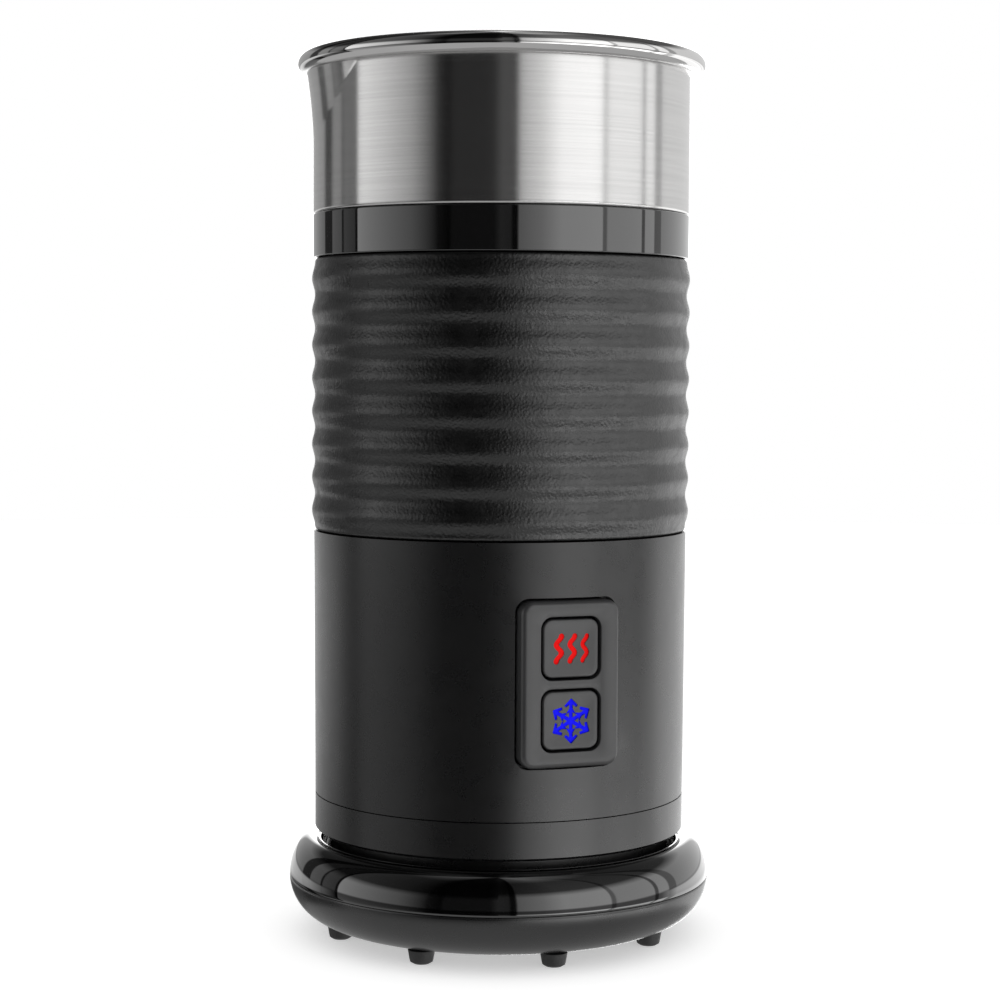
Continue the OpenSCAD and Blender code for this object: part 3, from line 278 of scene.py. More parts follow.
finishes = {
    "satin_plastic": moulded("satinPlastic", (0.0045, 0.0045, 0.0048), 0.28, 0.35 * mm, 0.003 * mm,
                             shine=1.0),
    "gloss_plastic": polished("glossPlastic", (0.0006, 0.0006, 0.0007), 0.04),
    "rubber_grip": rubber("grainedRubber", (0.0012, 0.0012, 0.00125), 0.33, 0.62 * mm, 0.06 * mm),
    "foot_rubber": rubber("footRubber", (0.010, 0.010, 0.010), 0.6, 0.3 * mm, 0.02 * mm),
    "seal_rubber": moulded("sealRubber", (0.72, 0.72, 0.70), 0.45, 0.3 * mm, 0.006 * mm, 0.04),
    "gasket_rubber": moulded("gasketRubber", (0.04, 0.04, 0.04), 0.6, 0.3 * mm, 0.01 * mm),
    "brushed_pot": brushed("brushedSteel", (0.66, 0.655, 0.65), 0.2),
    "steel_small": metal("brightSteel", (0.62, 0.62, 0.63), 0.16, depth=0.001 * mm),
    "aluminium_cast": metal("castAluminium", (0.58, 0.59, 0.60), 0.42, 0.5 * mm, 0.02 * mm),
    "element_metal": metal("elementSheath", (0.30, 0.29, 0.28), 0.38, 0.6 * mm, 0.01 * mm, shift=0.3),
    "ceramic_body": speckled("ceramicBody", (0.62, 0.57, 0.48), 0.6, 0.4 * mm, 0.01 * mm, 0.12),
    "zinc_plate": metal("zincPlate", (0.55, 0.56, 0.58), 0.3, 0.6 * mm, 0.004 * mm, 3 * mm, 0.18),
    "brass_contact": metal("contactBrass", (0.78, 0.56, 0.22), 0.24, 0.5 * mm, 0.003 * mm, 4 * mm),
    "bronze_bush": speckled("sinteredBronze", (0.50, 0.31, 0.14), 0.4, 0.15 * mm, 0.01 * mm, Metallic=1.0),
    "magnet_dark": speckled("ferriteMagnet", (0.06, 0.06, 0.065), 0.5, 0.2 * mm, 0.01 * mm),
    "magnet_bright": metal("nickelPlate", (0.60, 0.58, 0.54), 0.18, 0.6 * mm, 0.002 * mm),
    "copper_winding": winding("copperWinding", (0.62, 0.22, 0.08)),
    "board_green": board("circuitBoard", (0.012, 0.09, 0.035)),
    "component": moulded("componentBody", (0.03, 0.05, 0.12), 0.4, 0.3 * mm, 0.006 * mm),
    "switch_plastic": moulded("switchPlastic", (0.022, 0.022, 0.022), 0.45, 0.2 * mm, 0.006 * mm),
    "led_lens": moulded("diffusedLens", (0.75, 0.75, 0.72), 0.25, 0.4 * mm, 0.004 * mm, 0.05),
    "wire_jacket": moulded("wireJacket", (0.30, 0.035, 0.03), 0.38, 0.4 * mm, 0.008 * mm),
    "carrier_plastic": moulded("naturalNylon", (0.68, 0.64, 0.54), 0.45, 0.3 * mm, 0.008 * mm, 0.06),
    "whisk_plastic": moulded("whiskPlastic", (0.018, 0.018, 0.019), 0.32, 0.4 * mm, 0.003 * mm),
    "coil_wire": metal("drawnWire", (0.64, 0.64, 0.65), 0.2, 0.3 * mm, 0.002 * mm),
    "clear_plastic": clear("clearPlastic", (0.93, 0.96, 0.97), 0.03),
    "key_plastic": moulded("keyPlastic", (0.020, 0.020, 0.021), 0.40, 0.22 * mm, 0.012 * mm, shine=1.0),
    "heat_red": lightGuide("heatRed", (0.80, 0.002, 0.002), 0.12),
    "cold_blue": lightGuide("coldBlue", (0.003, 0.003, 0.90), 0.12),
}
polishedRim = metal("polishedSteel", (0.66, 0.655, 0.65), 0.07, 0.9 * mm, 0.0006 * mm, 20 * mm, 0.03)
slotOf = {part["node"]: part["material_slot"] for part in frame["record"]["subparts"]}
bodyOf = {name: body for body, names in frame["record"]["behaviour"]["bodies"].items() for name in names}
for name, part in nodes.items():
    part.data.materials.clear()
    part.data.materials.append(finishes[slotOf[name]])
print("finishes made:", len(finishes))


def finishPiece(piece, nodeName):
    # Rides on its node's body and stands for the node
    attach(piece, bodyOf[nodeName])
    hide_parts(nodeName)


def smoothed(mesh, angle=35):
    # Smooth shading, with the edges past an angle kept sharp
    mesh.shade_smooth()
    mesh.set_sharp_from_angle(angle=math.radians(angle))


def newPiece(name, shape, material, smooth=35):
    # Makes an object from a bmesh, shaded smooth up to an angle
    mesh = bpy.data.meshes.new(name)
    shape.to_mesh(mesh)
    shape.free()
    smoothed(mesh, smooth)
    if material:
        mesh.materials.append(material)
    piece = bpy.data.objects.new(name, mesh)
    bpy.context.scene.collection.objects.link(piece)
    return piece


def settled(piece):
    # Turns the object's modifiers into plain mesh
    dependencies = bpy.context.evaluated_depsgraph_get()
    mesh = bpy.data.meshes.new_from_object(piece.evaluated_get(dependencies), depsgraph=dependencies)
    old = piece.data
    piece.modifiers.clear()
    piece.data = mesh
    mesh.name = piece.name
    if old.users == 0:
        bpy.data.meshes.remove(old)
    return piece


def cutOut(piece, shape):
    # Takes a bmesh's volume out of a piece
    cutter = newPiece("cutter", shape, None)
    cut = piece.modifiers.new("Cut", "BOOLEAN")
    cut.object, cut.operation, cut.solver = cutter, "DIFFERENCE", "EXACT"
    settled(piece)
    bpy.data.objects.remove(cutter)


def addShape(shape, extra):
    # Moves one bmesh into another
    mesh = bpy.data.meshes.new("extra")
    extra.to_mesh(mesh)
    extra.free()
    shape.from_mesh(mesh)
    bpy.data.meshes.remove(mesh)


def rounded(points, steps=6):
    # Corners (r, z, round) become arcs, with a support point just before and after each
    made = []
    count = len(points)
    for i, (x, y, size) in enumerate(points):
        corner = Vector((x, y))
        if size <= 0:
            made.append(corner)
            continue
        before = Vector(points[i - 1][:2]) - corner
        after = Vector(points[(i + 1) % count][:2]) - corner
        half = before.angle(after) / 2
        reach = min(size / math.tan(half), before.length * 0.48, after.length * 0.48)
        radius = reach * math.tan(half)
        centre = corner + (before.normalized() + after.normalized()).normalized() * (radius / math.sin(half))
        start, end = corner + before.normalized() * reach, corner + after.normalized() * reach
        first, last = start - centre, end - centre
        swing = first.angle_signed(last)
        made.append(start + before.normalized() * min(radius * 0.4, before.length * 0.01))
        for k in range(steps + 1):
            made.append(centre + Matrix.Rotation(-swing * k / steps, 2) @ first)
        made.append(end + after.normalized() * min(radius * 0.4, after.length * 0.01))
    return [(p.x, p.y) for p in made]


def split(points, longest=3 * mm, fine=None):
    # Puts extra points on the long straights of a closed outline; fine is (low, high, longest)
    made = []
    for i, point in enumerate(points):
        following = points[(i + 1) % len(points)]
        length = math.dist(point, following)
        step = longest
        if fine and min(point[1], following[1]) < fine[1] and max(point[1], following[1]) > fine[0]:
            step = fine[2]
        parts = max(1, math.ceil(length / step))
        for k in range(parts):
            share = k / parts
            made.append((point[0] + (following[0] - point[0]) * share,
                         point[1] + (following[1] - point[1]) * share))
    return made


def lathe(outline, steps=192, change=None, direction=None):
    # Turns a closed outline of (r, z) about the jug's axis; points on the axis close to poles
    direction = direction or (lambda k: turn * k / steps)
    shape = bmesh.new()
    rings = []
    for r, z in outline:
        if r < 1e-7:
            rings.append([shape.verts.new((0, 0, z))] * steps)
            continue
        ring = []
        for k in range(steps):
            angle = direction(k)
            reach = change(angle, r, z) if change else r
            ring.append(shape.verts.new((reach * math.cos(angle), reach * math.sin(angle), z)))
        rings.append(ring)
    for lower, upper in zip(rings, rings[1:] + rings[:1]):
        for k in range(steps):
            n = (k + 1) % steps
            corners = []
            for vert in (lower[k], lower[n], upper[n], upper[k]):
                if vert not in corners:
                    corners.append(vert)
            if len(corners) > 2:
                shape.faces.new(corners)
    bmesh.ops.recalc_face_normals(shape, faces=shape.faces)
    return shape


def arc(x, y, rx, ry, start, end, steps):
    # Points of an elliptic arc, angles in degrees
    return [(x + rx * math.cos(math.radians(start + (end - start) * i / steps)),
             y + ry * math.sin(math.radians(start + (end - start) * i / steps))) for i in range(steps + 1)]


def bodyRadius(z):
    # The jug's outside at a height, with the draft of its plastic shells
    share = (steelBottom - z) / (steelBottom - housingBottom)
    return jugRadius - (jugRadius - capRadius) * share


# Steel pot: drawn wall, pressed spout and rolled lip
pot = dict(wall=0.8 * mm, lipOut=1.4 * mm, lipAcross=2.2 * mm, lipOver=2.45 * mm, lipUnder=2.15 * mm,
           lipSink=0.2 * mm, crease=0.3 * mm, shoulder=0.8 * mm, neck=1.2 * mm, corner=6 * mm,
           lowerRadius=39.3 * mm, lipStart=8, step=1.4 * mm, fineStep=0.6 * mm, steps=400)
spout = dict(height=16.5 * mm, out=1.5 * mm, halfAngle=43.4, power=3.9, openGrowth=0.4, outGrowth=1.6,
             fineAngle=50, fineShare=0.55)


def potAngle(k):
    # Direction of a step round the pot: the steps lie closer together at the spout
    share = k / pot["steps"]
    fine, part = math.radians(spout["fineAngle"]), spout["fineShare"]
    if share < part:
        return math.pi - fine + 2 * fine * share / part
    return math.pi + fine + (turn - 2 * fine) * (share - part) / (1 - part)


def spoutReach(angle, z, top):
    # How far the pressed spout stands out of the wall, with a crease where it starts
    growth = (z - top + spout["height"]) / spout["height"]
    if growth <= 0:
        return 0
    growth = min(growth, 1)
    halfAngle = math.radians(spout["halfAngle"]) * growth ** spout["openGrowth"]
    share = abs((angle % turn) - math.pi) / halfAngle
    if share >= 1:
        return 0
    return spout["out"] * growth ** spout["outGrowth"] * (1 - share ** spout["power"])


def makePot():
    across, over, under = pot["lipAcross"], pot["lipOver"], pot["lipUnder"]
    lipRadius = jugRadius + pot["lipOut"]
    lipHeight = rimTop - pot["lipSink"] - over
    meet = math.degrees(math.acos(-pot["lipOut"] / across))
    meetHeight = lipHeight - under * math.sin(math.radians(meet))
    lower, wall, corner, shoulder = pot["lowerRadius"], pot["wall"], pot["corner"], pot["shoulder"]
    floor = potBottom + wall
    inner = jugRadius - wall
    outline = [(0, potBottom, 0)]
    outline += [(x, y, 0) for x, y in arc(lower - corner, potBottom + corner, corner, corner, -90, 0, 8)]
    outline += [(lower, steelBottom, pot["neck"]), (jugRadius, steelBottom, shoulder),
                (jugRadius, meetHeight, pot["crease"])]
    outline += [(x, y, 0) for x, y in arc(lipRadius, lipHeight, across, under,
                                         360 + pot["lipStart"] - meet, 360, 16)]
    outline += [(x, y, 0) for x, y in arc(lipRadius, lipHeight, across, over, 6, 180, 22)]
    outline += [(inner, steelBottom + wall, shoulder), (lower - wall, steelBottom + wall, pot["neck"] + wall)]
    outline += [(x, y, 0) for x, y in arc(lower - corner, potBottom + corner, corner - wall, corner - wall,
                                         0, -90, 8)]
    outline += [(0, floor, 0)]
    spoutBottom = meetHeight - spout["height"]
    dense = split(rounded(outline), pot["step"], (spoutBottom, meetHeight, pot["fineStep"]))
    dense = [point for point in dense if point[0] > 1e-7 or point[1] in (potBottom, floor)]

    def pressed(angle, r, z):
        # Only the upper wall is pressed out; the lip stays round
        if abs(r - jugRadius + wall / 2) > wall / 2 + 0.02 * mm and r < lipRadius - across + 0.02 * mm:
            return r
        if z < spoutBottom or r > jugRadius + 0.5 * mm or z > lipHeight:
            return r
        fade = 1 if r > inner + wall / 2 else min(1, (lipHeight - z) / under)
        return r + spoutReach(angle, z, meetHeight) * fade

    shape = lathe(dense, pot["steps"], pressed, potAngle)
    piece = newPiece("steelPot", shape, finishes["brushed_pot"])
    piece.data.materials.append(polishedRim)
    for face in piece.data.polygons:
        if face.center.z > meetHeight and math.hypot(face.center.x, face.center.y) > inner - 0.1 * mm:
            face.material_index = 1
    finishPiece(piece, "steel_pot")


makePot()
print("pot made")


# Gloss band under the steel
band = dict(spigotIn=2.8 * mm, gap=0.1 * mm, edge=0.25 * mm, steps=256)


def makeBand():
    inner, edge = jugRadius - band["spigotIn"] + band["gap"], band["edge"]
    outline = rounded([(inner, bandBottom, edge), (bodyRadius(bandBottom), bandBottom, edge),
                       (jugRadius, steelBottom, edge), (inner, steelBottom, edge)])
    finishPiece(newPiece("glossBand", lathe(split(outline), band["steps"]), finishes["gloss_plastic"]),
                "trim_band")


makeBand()
print("gloss band made")


# Power base: a gloss cover over a satin bowl
base = dict(wall=2 * mm, crestIn=6.1 * mm, seam=14 * mm, wellFloor=17 * mm, wellRadius=42.7 * mm,
            wellRound=0.6 * mm, lipDrop=1.2 * mm, bite=0.05 * mm, postHole=12.3 * mm, bowlRound=10.5 * mm,
            screwCircle=31 * mm, postTop=8.6 * mm, coverPost=3.4 * mm, bowlPost=3.8 * mm, pilot=1.25 * mm,
            hole=1.6 * mm, sink=3.1 * mm, seat=6 * mm, edge=0.25 * mm, tongueOut=48 * mm,
            tongueIn=46.8 * mm, tongueLow=9 * mm, tongueHigh=15.6 * mm, supportIn=13.4 * mm,
            supportOut=15.4 * mm, supportTop=12.8 * mm, cordHole=4.2 * mm, cordHeight=9.2 * mm, steps=288)
screwSpots = [(base["screwCircle"] * math.cos(a), base["screwCircle"] * math.sin(a))
              for a in (math.radians(45 + 90 * k) for k in range(4))]


def addTurned(shape, outline, spots=((0, 0),), steps=40):
    # Adds turned solids at places round the axis
    for x, y in spots:
        extra = lathe(outline, steps)
        bmesh.ops.translate(extra, verts=extra.verts, vec=(x, y, 0))
        addShape(shape, extra)
    return shape


def tube(inner, outer, low, high):
    return [(inner, low), (outer, low), (outer, high), (inner, high)]


def makeCover():
    crest, top, seam, wall = baseRadius - base["crestIn"], baseTop, base["seam"], base["wall"]
    floor, edge = base["wellFloor"], base["edge"]
    outline = [(base["postHole"], floor, edge), (base["wellRadius"], floor, base["wellRound"])]
    outline += [(x, y, 0) for x, y in arc(crest, top - base["lipDrop"], crest - base["wellRadius"],
                                         base["lipDrop"], 180, 95, 10)]
    outline += [(x, y, 0) for x, y in arc(crest, seam, base["crestIn"], top - seam, 90, 3, 56)]
    outline += [(baseRadius - edge * 0.4, seam + edge * 0.3, 0), (baseRadius - edge * 1.3, seam, 0)]
    outline += [(x, y, 0) for x, y in arc(crest, seam, base["crestIn"] - wall, top - seam - wall, 0, 84, 16)]
    outline += [(crest, floor - wall, 0), (base["postHole"], floor - wall, 0)]
    shape = lathe(split(rounded(outline), 4 * mm), base["steps"])
    post = tube(base["pilot"], base["coverPost"], base["postTop"], floor - wall + base["bite"])
    addTurned(shape, post, screwSpots)
    finishPiece(newPiece("baseCover", shape, finishes["gloss_plastic"]), "base_cover")


def makeBowl():
    inside, seam, wall, low = baseRadius - base["bowlRound"], base["seam"], base["wall"], bowlBottom
    rise, edge = seam - low, base["edge"]
    outline = [(0, low, 0)]
    outline += [(x, y, 0) for x, y in arc(inside, seam, base["bowlRound"], rise, -90, -2, 48)]
    outline += [(baseRadius - edge * 0.5, seam - edge * 0.4, 0), (baseRadius - edge * 1.5, seam, 0)]
    outline += [(x, y, 0) for x, y in arc(inside, seam, base["bowlRound"] - wall, rise - wall, 0, -90, 20)]
    outline += [(0, low + wall, 0)]
    shape = lathe(split(rounded(outline), 4 * mm), base["steps"])
    bowl = newPiece("baseBowl", shape, finishes["satin_plastic"])
    hole, seat, top = base["hole"], base["seat"], base["postTop"]
    stepped = [(0, low - 1 * mm), (base["sink"], low - 1 * mm), (base["sink"], seat), (hole, seat),
               (hole, top + 1 * mm), (0, top + 1 * mm)]
    cutShape = addTurned(bmesh.new(), stepped, screwSpots)
    mouth = bmesh.new()
    way = Matrix.Rotation(math.pi / 2, 4, "X")
    way = Matrix.Translation((0, baseRadius - 2 * mm, base["cordHeight"])) @ way
    bmesh.ops.create_cone(mouth, cap_ends=True, segments=48, radius1=base["cordHole"],
                          radius2=base["cordHole"], depth=12 * mm, matrix=way)
    addShape(cutShape, mouth)
    cutOut(bowl, cutShape)
    inner = bmesh.new()
    inner.from_mesh(bowl.data)
    under = low + wall - base["bite"]
    tongue = tube(base["tongueIn"], base["tongueOut"], base["tongueLow"], base["tongueHigh"])
    addTurned(inner, tongue, steps=128)
    addTurned(inner, tube(base["supportIn"], base["supportOut"], under, base["supportTop"]), steps=96)
    addTurned(inner, tube(hole, base["bowlPost"], seat, top), screwSpots)
    inner.to_mesh(bowl.data)
    inner.free()
    smoothed(bowl.data)
    finishPiece(bowl, "base_housing")


makeCover()
makeBowl()
print("base made")


def feed(tree, socket, value):
    # Links a socket to a node's output, or sets its value
    if isinstance(value, Value):
        value = value.socket
    if isinstance(value, bpy.types.NodeSocket):
        tree.links.new(value, socket)
    else:
        socket.default_value = value


class Value:
    # A node's output that takes part in sums as a number does
    def __init__(self, tree, socket):
        self.tree, self.socket = tree, socket

    def made(self, operation, *values):
        node = self.tree.nodes.new("ShaderNodeMath")
        node.operation = operation
        for socket, value in zip(node.inputs, values):
            feed(self.tree, socket, value)
        return Value(self.tree, node.outputs[0])

    def of(self, operation, other=0.0):
        return self.made(operation, self, other)

    def __add__(self, other):
        return self.of("ADD", other)

    def __sub__(self, other):
        return self.of("SUBTRACT", other)

    def __rsub__(self, other):
        return self.made("SUBTRACT", other, self)

    def __mul__(self, other):
        return self.of("MULTIPLY", other)

    def __truediv__(self, other):
        return self.of("DIVIDE", other)

    def __pow__(self, other):
        return self.of("POWER", other)

    def __lt__(self, other):
        return self.of("LESS_THAN", other)

    def __gt__(self, other):
        return self.of("GREATER_THAN", other)


class Tree:
    # A Geometry Nodes tree with a named input for each size
    def __init__(self, name, **sizes):
        self.name = name
        self.tree = bpy.data.node_groups.new(name, "GeometryNodeTree")
        self.tree.is_modifier = True
        face = self.tree.interface
        for way in ("INPUT", "OUTPUT"):
            face.new_socket("Geometry", in_out=way, socket_type="NodeSocketGeometry")
        self.settings = {}
        for label, value in sizes.items():
            kind = "NodeSocketInt" if isinstance(value, int) else "NodeSocketFloat"
            self.settings[face.new_socket(label, in_out="INPUT", socket_type=kind).identifier] = value
        entry = self.tree.nodes.new("NodeGroupInput").outputs
        self.points = entry["Geometry"]
        self.sizes = [Value(self.tree, entry[label]) for label in sizes]
        self.output = self.tree.nodes.new("NodeGroupOutput").inputs["Geometry"]

    def add(self, kind, links=None, **values):
        # Adds a node and gives its first output
        node = self.tree.nodes.new(kind)
        for key, value in values.items():
            setattr(node, key, value)
        for key, value in (links or {}).items():
            feed(self.tree, node.inputs[key], value)
        return node.outputs[0]

    def vector(self, x=0.0, y=0.0, z=0.0):
        return self.add("ShaderNodeCombineXYZ", {"X": x, "Y": y, "Z": z})

    def turned(self, reach, angle, level):
        return self.vector(reach * angle.of("COSINE"), reach * angle.of("SINE"), level)

    def place(self):
        node = self.tree.nodes.new("ShaderNodeSeparateXYZ")
        self.tree.links.new(self.add("GeometryNodeInputPosition"), node.inputs[0])
        return [Value(self.tree, socket) for socket in node.outputs]

    def moved(self, shape, position):
        return self.add("GeometryNodeSetPosition", {"Geometry": shape, "Position": position})

    def join(self, *parts):
        node = self.tree.nodes.new("GeometryNodeJoinGeometry")
        for part in parts:
            self.tree.links.new(part, node.inputs[0])
        return node.outputs[0]

    def run(self, end, material, spots=(), smooth=None):
        # Ends the tree, evaluates it on loose points and gives a plain mesh object
        realized = self.add("GeometryNodeRealizeInstances", {"Geometry": end})
        feed(self.tree, self.output,
             self.add("GeometryNodeSetMaterial", {"Geometry": realized, "Material": material}))
        piece = bpy.data.objects.new(self.name, bpy.data.meshes.new(self.name))
        piece.data.from_pydata([tuple(spot) for spot in spots], [], [])
        bpy.context.scene.collection.objects.link(piece)
        modifier = piece.modifiers.new("Shape", "NODES")
        modifier.node_group = self.tree
        for identifier, value in self.settings.items():
            modifier[identifier] = value
        settled(piece)
        piece.data.shade_smooth()
        if smooth:
            smoothed(piece.data, smooth)
        return piece


# Ribbed grip sleeve
grip = dict(ribs=8, rise=0.7 * mm, valleyIn=0.2 * mm, margin=4.8 * mm, edge=1.1 * mm,
            thickness=1.75 * mm, around=256, along=240, gather=0.35, weld=0.002 * mm)


def makeGrip():
    # Section heights run up the sleeve; ribs are a cosine, edges a quarter round
    t = Tree("gripSleeve", seatRadius=bodyRadius(sleeveBottom) - grip["thickness"], bottom=sleeveBottom,
             height=sleeveTop - sleeveBottom, thickness=grip["thickness"] - grip["valleyIn"],
             ribRise=grip["rise"], ribCount=grip["ribs"], margin=grip["margin"], edge=grip["edge"],
             around=grip["around"], along=grip["along"])
    seat, bottom, height, thickness, rise, count, margin, edge, around, along = t.sizes
    x, y, _ = t.place()
    angle, share = (x + 0.5) * turn, y + 0.5
    pitch = (height - margin * 2) / (count - 1)

    def ribWave(level):
        return ((level / pitch * turn).of("COSINE") + 1) * (rise * 0.5)

    def edgeLoss(distance):
        short = (edge - distance).of("MAXIMUM")
        return edge - (edge ** 2 - short ** 2).of("MAXIMUM").of("SQRT")

    def skin(rows, reach, level):
        grid = t.add("GeometryNodeMeshGrid", {"Size X": 1.0, "Size Y": 1.0, "Vertices X": around + 1,
                                              "Vertices Y": rows})
        return t.moved(grid, t.turned(reach, angle, level))

    # Steps gather towards the two edges, where the section is round
    eased = 0.5 - (share * math.pi).of("COSINE") * 0.5
    up = (eased * grip["gather"] + share * (1 - grip["gather"])) * height
    reach = seat + thickness + ribWave(up - margin) - edgeLoss(up) - edgeLoss(height - up)
    outer = skin(along, reach, bottom + up)
    # Inner wall and the two level ends: four rings joined to the outer skin
    row = share * 3
    atEdge = (row - 1.5).of("ABSOLUTE") > 1.0
    inner = skin(4, seat + atEdge * (thickness + ribWave(margin) - edge), bottom + (1 - (row < 1.5)) * height)
    joined = t.join(outer, t.add("GeometryNodeFlipFaces", {"Mesh": inner}))
    welded = t.add("GeometryNodeMergeByDistance", {"Geometry": joined, "Distance": grip["weld"]})
    finishPiece(t.run(welded, finishes["rubber_grip"], smooth=50), "grip_sleeve")


makeGrip()
print("grip sleeve made")


# Control panel: a bezel with two keys and their symbols
panel = dict(edgeWide=1.25 * mm, edgeDeep=1.1 * mm, openGap=0.3 * mm, windowRound=2.65 * mm,
             keyGap=0.5 * mm, flange=1.6 * mm, flangeOver=2 * mm, corner=3 * mm, soft=0.25 * mm,
             postRadius=2 * mm, postIn=(1 * mm, 1.2 * mm), pilotRadius=0.9 * mm, pilot=6 * mm)
keys = dict(edge=0.45 * mm, dish=0.42 * mm, lip=1.1 * mm, lipOver=1 * mm, lipGap=0.4 * mm,
            stemRadius=2 * mm, stemLength=1.8 * mm, sink=0.08 * mm, round=2.3 * mm, rings=9)
marks = dict(sunk=0.2 * mm, thick=0.3 * mm, waveHeight=5.6 * mm, waveDown=0.1 * mm,
             waves=((-2.75 * mm, 1.4 * mm, 0.62 * mm), (0.5 * mm, 1.25 * mm, 0.57 * mm),
                    (3.45 * mm, 1.05 * mm, 0.5 * mm)),  # place, width and swing of each stroke
             flakeSize=5.1 * mm, flakePlace=(0.25 * mm, -0.2 * mm))

joints = {joint["name"]: joint for joint in frame["record"]["behaviour"]["joints"]}
pressAxis = Vector(joints["heat_press"]["axis"])
outward = -pressAxis.normalized()
upward = Vector((0, 0, 1))
across = upward.cross(outward)


def panelBox(nodeName):
    # A node's extent on the panel: across, up and outwards
    places = [(v.co.dot(across), v.co.z, v.co.dot(outward)) for v in nodes[nodeName].data.vertices]
    return [min(p[i] for p in places) for i in range(3)], [max(p[i] for p in places) for i in range(3)]


def onPanel(x, y, depth):
    return across * x + upward * y + outward * depth


def roundRect(cx, cy, width, height, corner, steps=8):
    points = []
    for quarter, (sx, sy) in enumerate(((1, 1), (-1, 1), (-1, -1), (1, -1))):
        middle = (cx + sx * (width / 2 - corner), cy + sy * (height / 2 - corner))
        points += arc(*middle, corner, corner, 90 * quarter, 90 * quarter + 90, steps)
    return points


def bridge(shape, loops):
    # Joins loops of equal count, one after the other
    for first, second in zip(loops, loops[1:]):
        for i in range(len(first)):
            n = (i + 1) % len(first)
            shape.faces.new((first[i], first[n], second[n], second[i]))


def loopAt(shape, points, depth):
    return [shape.verts.new(onPanel(x, y, depth)) for x, y in points]


def fillBetween(shape, *loops):
    # Fills the flat area between an outer loop and the holes in it
    edges = [shape.edges.get((loop[i], loop[i - 1])) or shape.edges.new((loop[i], loop[i - 1]))
             for loop in loops for i in range(len(loop))]
    bmesh.ops.triangle_fill(shape, edges=edges, use_beauty=True)


def edgeLoops(shape, cx, cy, width, height, corner, face, wide, deep, steps=5):
    # Loops of a rounded front edge, from the side wall to the face
    loops = []
    for k in range(steps + 1):
        bend = math.radians(90 * k / steps)
        inset = wide * (1 - math.cos(bend))
        depth = face - deep * (1 - math.sin(bend))
        loops.append(loopAt(shape, roundRect(cx, cy, width - 2 * inset, height - 2 * inset,
                                             max(corner - inset, 0.3 * mm)), depth))
    return loops


def addPeg(shape, x, y, rings):
    # Adds a closed round peg from (radius, depth) rings
    loops = [loopAt(shape, arc(x, y, radius, radius, 0, 345, 23), depth) for radius, depth in rings]
    bridge(shape, loops)
    shape.faces.new(loops[0])
    shape.faces.new(loops[-1])


def makeBezel():
    low, high = panelBox("control_bezel")
    cx, cy = (low[0] + high[0]) / 2, (low[1] + high[1]) / 2
    wide, tall = high[0] - low[0], high[1] - low[1]
    gap, corner, soft = panel["openGap"], panel["corner"], panel["soft"]
    width, height = wide - 2 * panel["flangeOver"] - 2 * gap, tall - 2 * panel["flangeOver"] - 2 * gap
    face, boardFace, back = high[2], low[2], flangeBack()
    shape = bmesh.new()
    flange = roundRect(cx, cy, wide, tall, corner)
    rings = [loopAt(shape, flange, back), loopAt(shape, flange, back + panel["flange"]),
             loopAt(shape, roundRect(cx, cy, width, height, corner), back + panel["flange"])]
    rings += edgeLoops(shape, cx, cy, width, height, corner, face, panel["edgeWide"], panel["edgeDeep"])
    bridge(shape, rings)
    fronts, backs = [], []
    keyWidth, keyHeight = keySize()
    for window in (panelBox("heat_button"), panelBox("cold_button")):
        middle = (window[0][1] + window[1][1]) / 2
        loops = []
        for wider, rounder, depth in ((2 * soft, soft, face), (soft * 0.6, soft * 0.3, face - soft * 0.3),
                                      (0, 0, face - soft), (0, 0, back)):
            points = roundRect(cx, middle, keyWidth + 2 * panel["keyGap"] + wider,
                               keyHeight + 2 * panel["keyGap"] + wider, panel["windowRound"] + rounder)
            loops.append(loopAt(shape, points, depth))
        bridge(shape, loops)
        fronts.append(loops[0])
        backs.append(loops[-1])
    fillBetween(shape, rings[-1], *fronts)
    fillBetween(shape, rings[0], *backs)
    post, pilot = panel["postRadius"], panel["pilotRadius"]
    for sx in (-1, 1):
        for sy in (-1, 1):
            addPeg(shape, cx + sx * (width / 2 + gap - panel["postIn"][0]),
                   cy + sy * (height / 2 + gap - panel["postIn"][1]),
                   ((post, back + 0.1 * mm), (post, boardFace), (pilot, boardFace),
                    (pilot, boardFace + panel["pilot"])))
    bmesh.ops.recalc_face_normals(shape, faces=shape.faces)
    finishPiece(newPiece("panelBezel", shape, finishes["key_plastic"], 40), "control_bezel")


def flangeBack():
    # Depth of the bezel's back, just in front of the keys' lips
    low, _ = panelBox("heat_button")
    return low[2] + keys["stemLength"] + keys["lip"] + keys["lipGap"]


def keySize():
    # Size of a key's face, which is smaller than its lip behind the bezel
    low, high = panelBox("heat_button")
    over = keys["lipOver"]
    return high[0] - low[0] - 2 * over, high[1] - low[1] - 2 * over


def waveStroke(cx, cy, height, width, swing, steps=24):
    # Outline of one wavy stroke with round ends; its sides bend less where the wave is tight
    def centre(s):
        return Vector((cx + swing * math.cos(3 * math.pi * s), cy + height * (0.5 - s)))

    tightest = (height / (3 * math.pi)) ** 2 / swing
    level = min(1, 0.85 * tightest / (width / 2))
    left, right = [], []
    for k in range(steps + 1):
        s = k / steps
        along = (centre(s + 0.01) - centre(s - 0.01)).normalized()
        side = Vector((-along.y, along.x * level)) * width / 2
        left.append(centre(s) + side)
        right.append(centre(s) - side)

    def half(first, middle, along):
        side = first - middle
        return [middle + side * math.cos(math.pi * k / 6) + along * width / 2 * math.sin(math.pi * k / 6)
                for k in range(1, 6)]

    points = left + half(left[-1], centre(1), Vector((0, -1)))
    points += right[::-1] + half(right[0], centre(0), Vector((0, 1)))
    return [(p.x, p.y) for p in points]


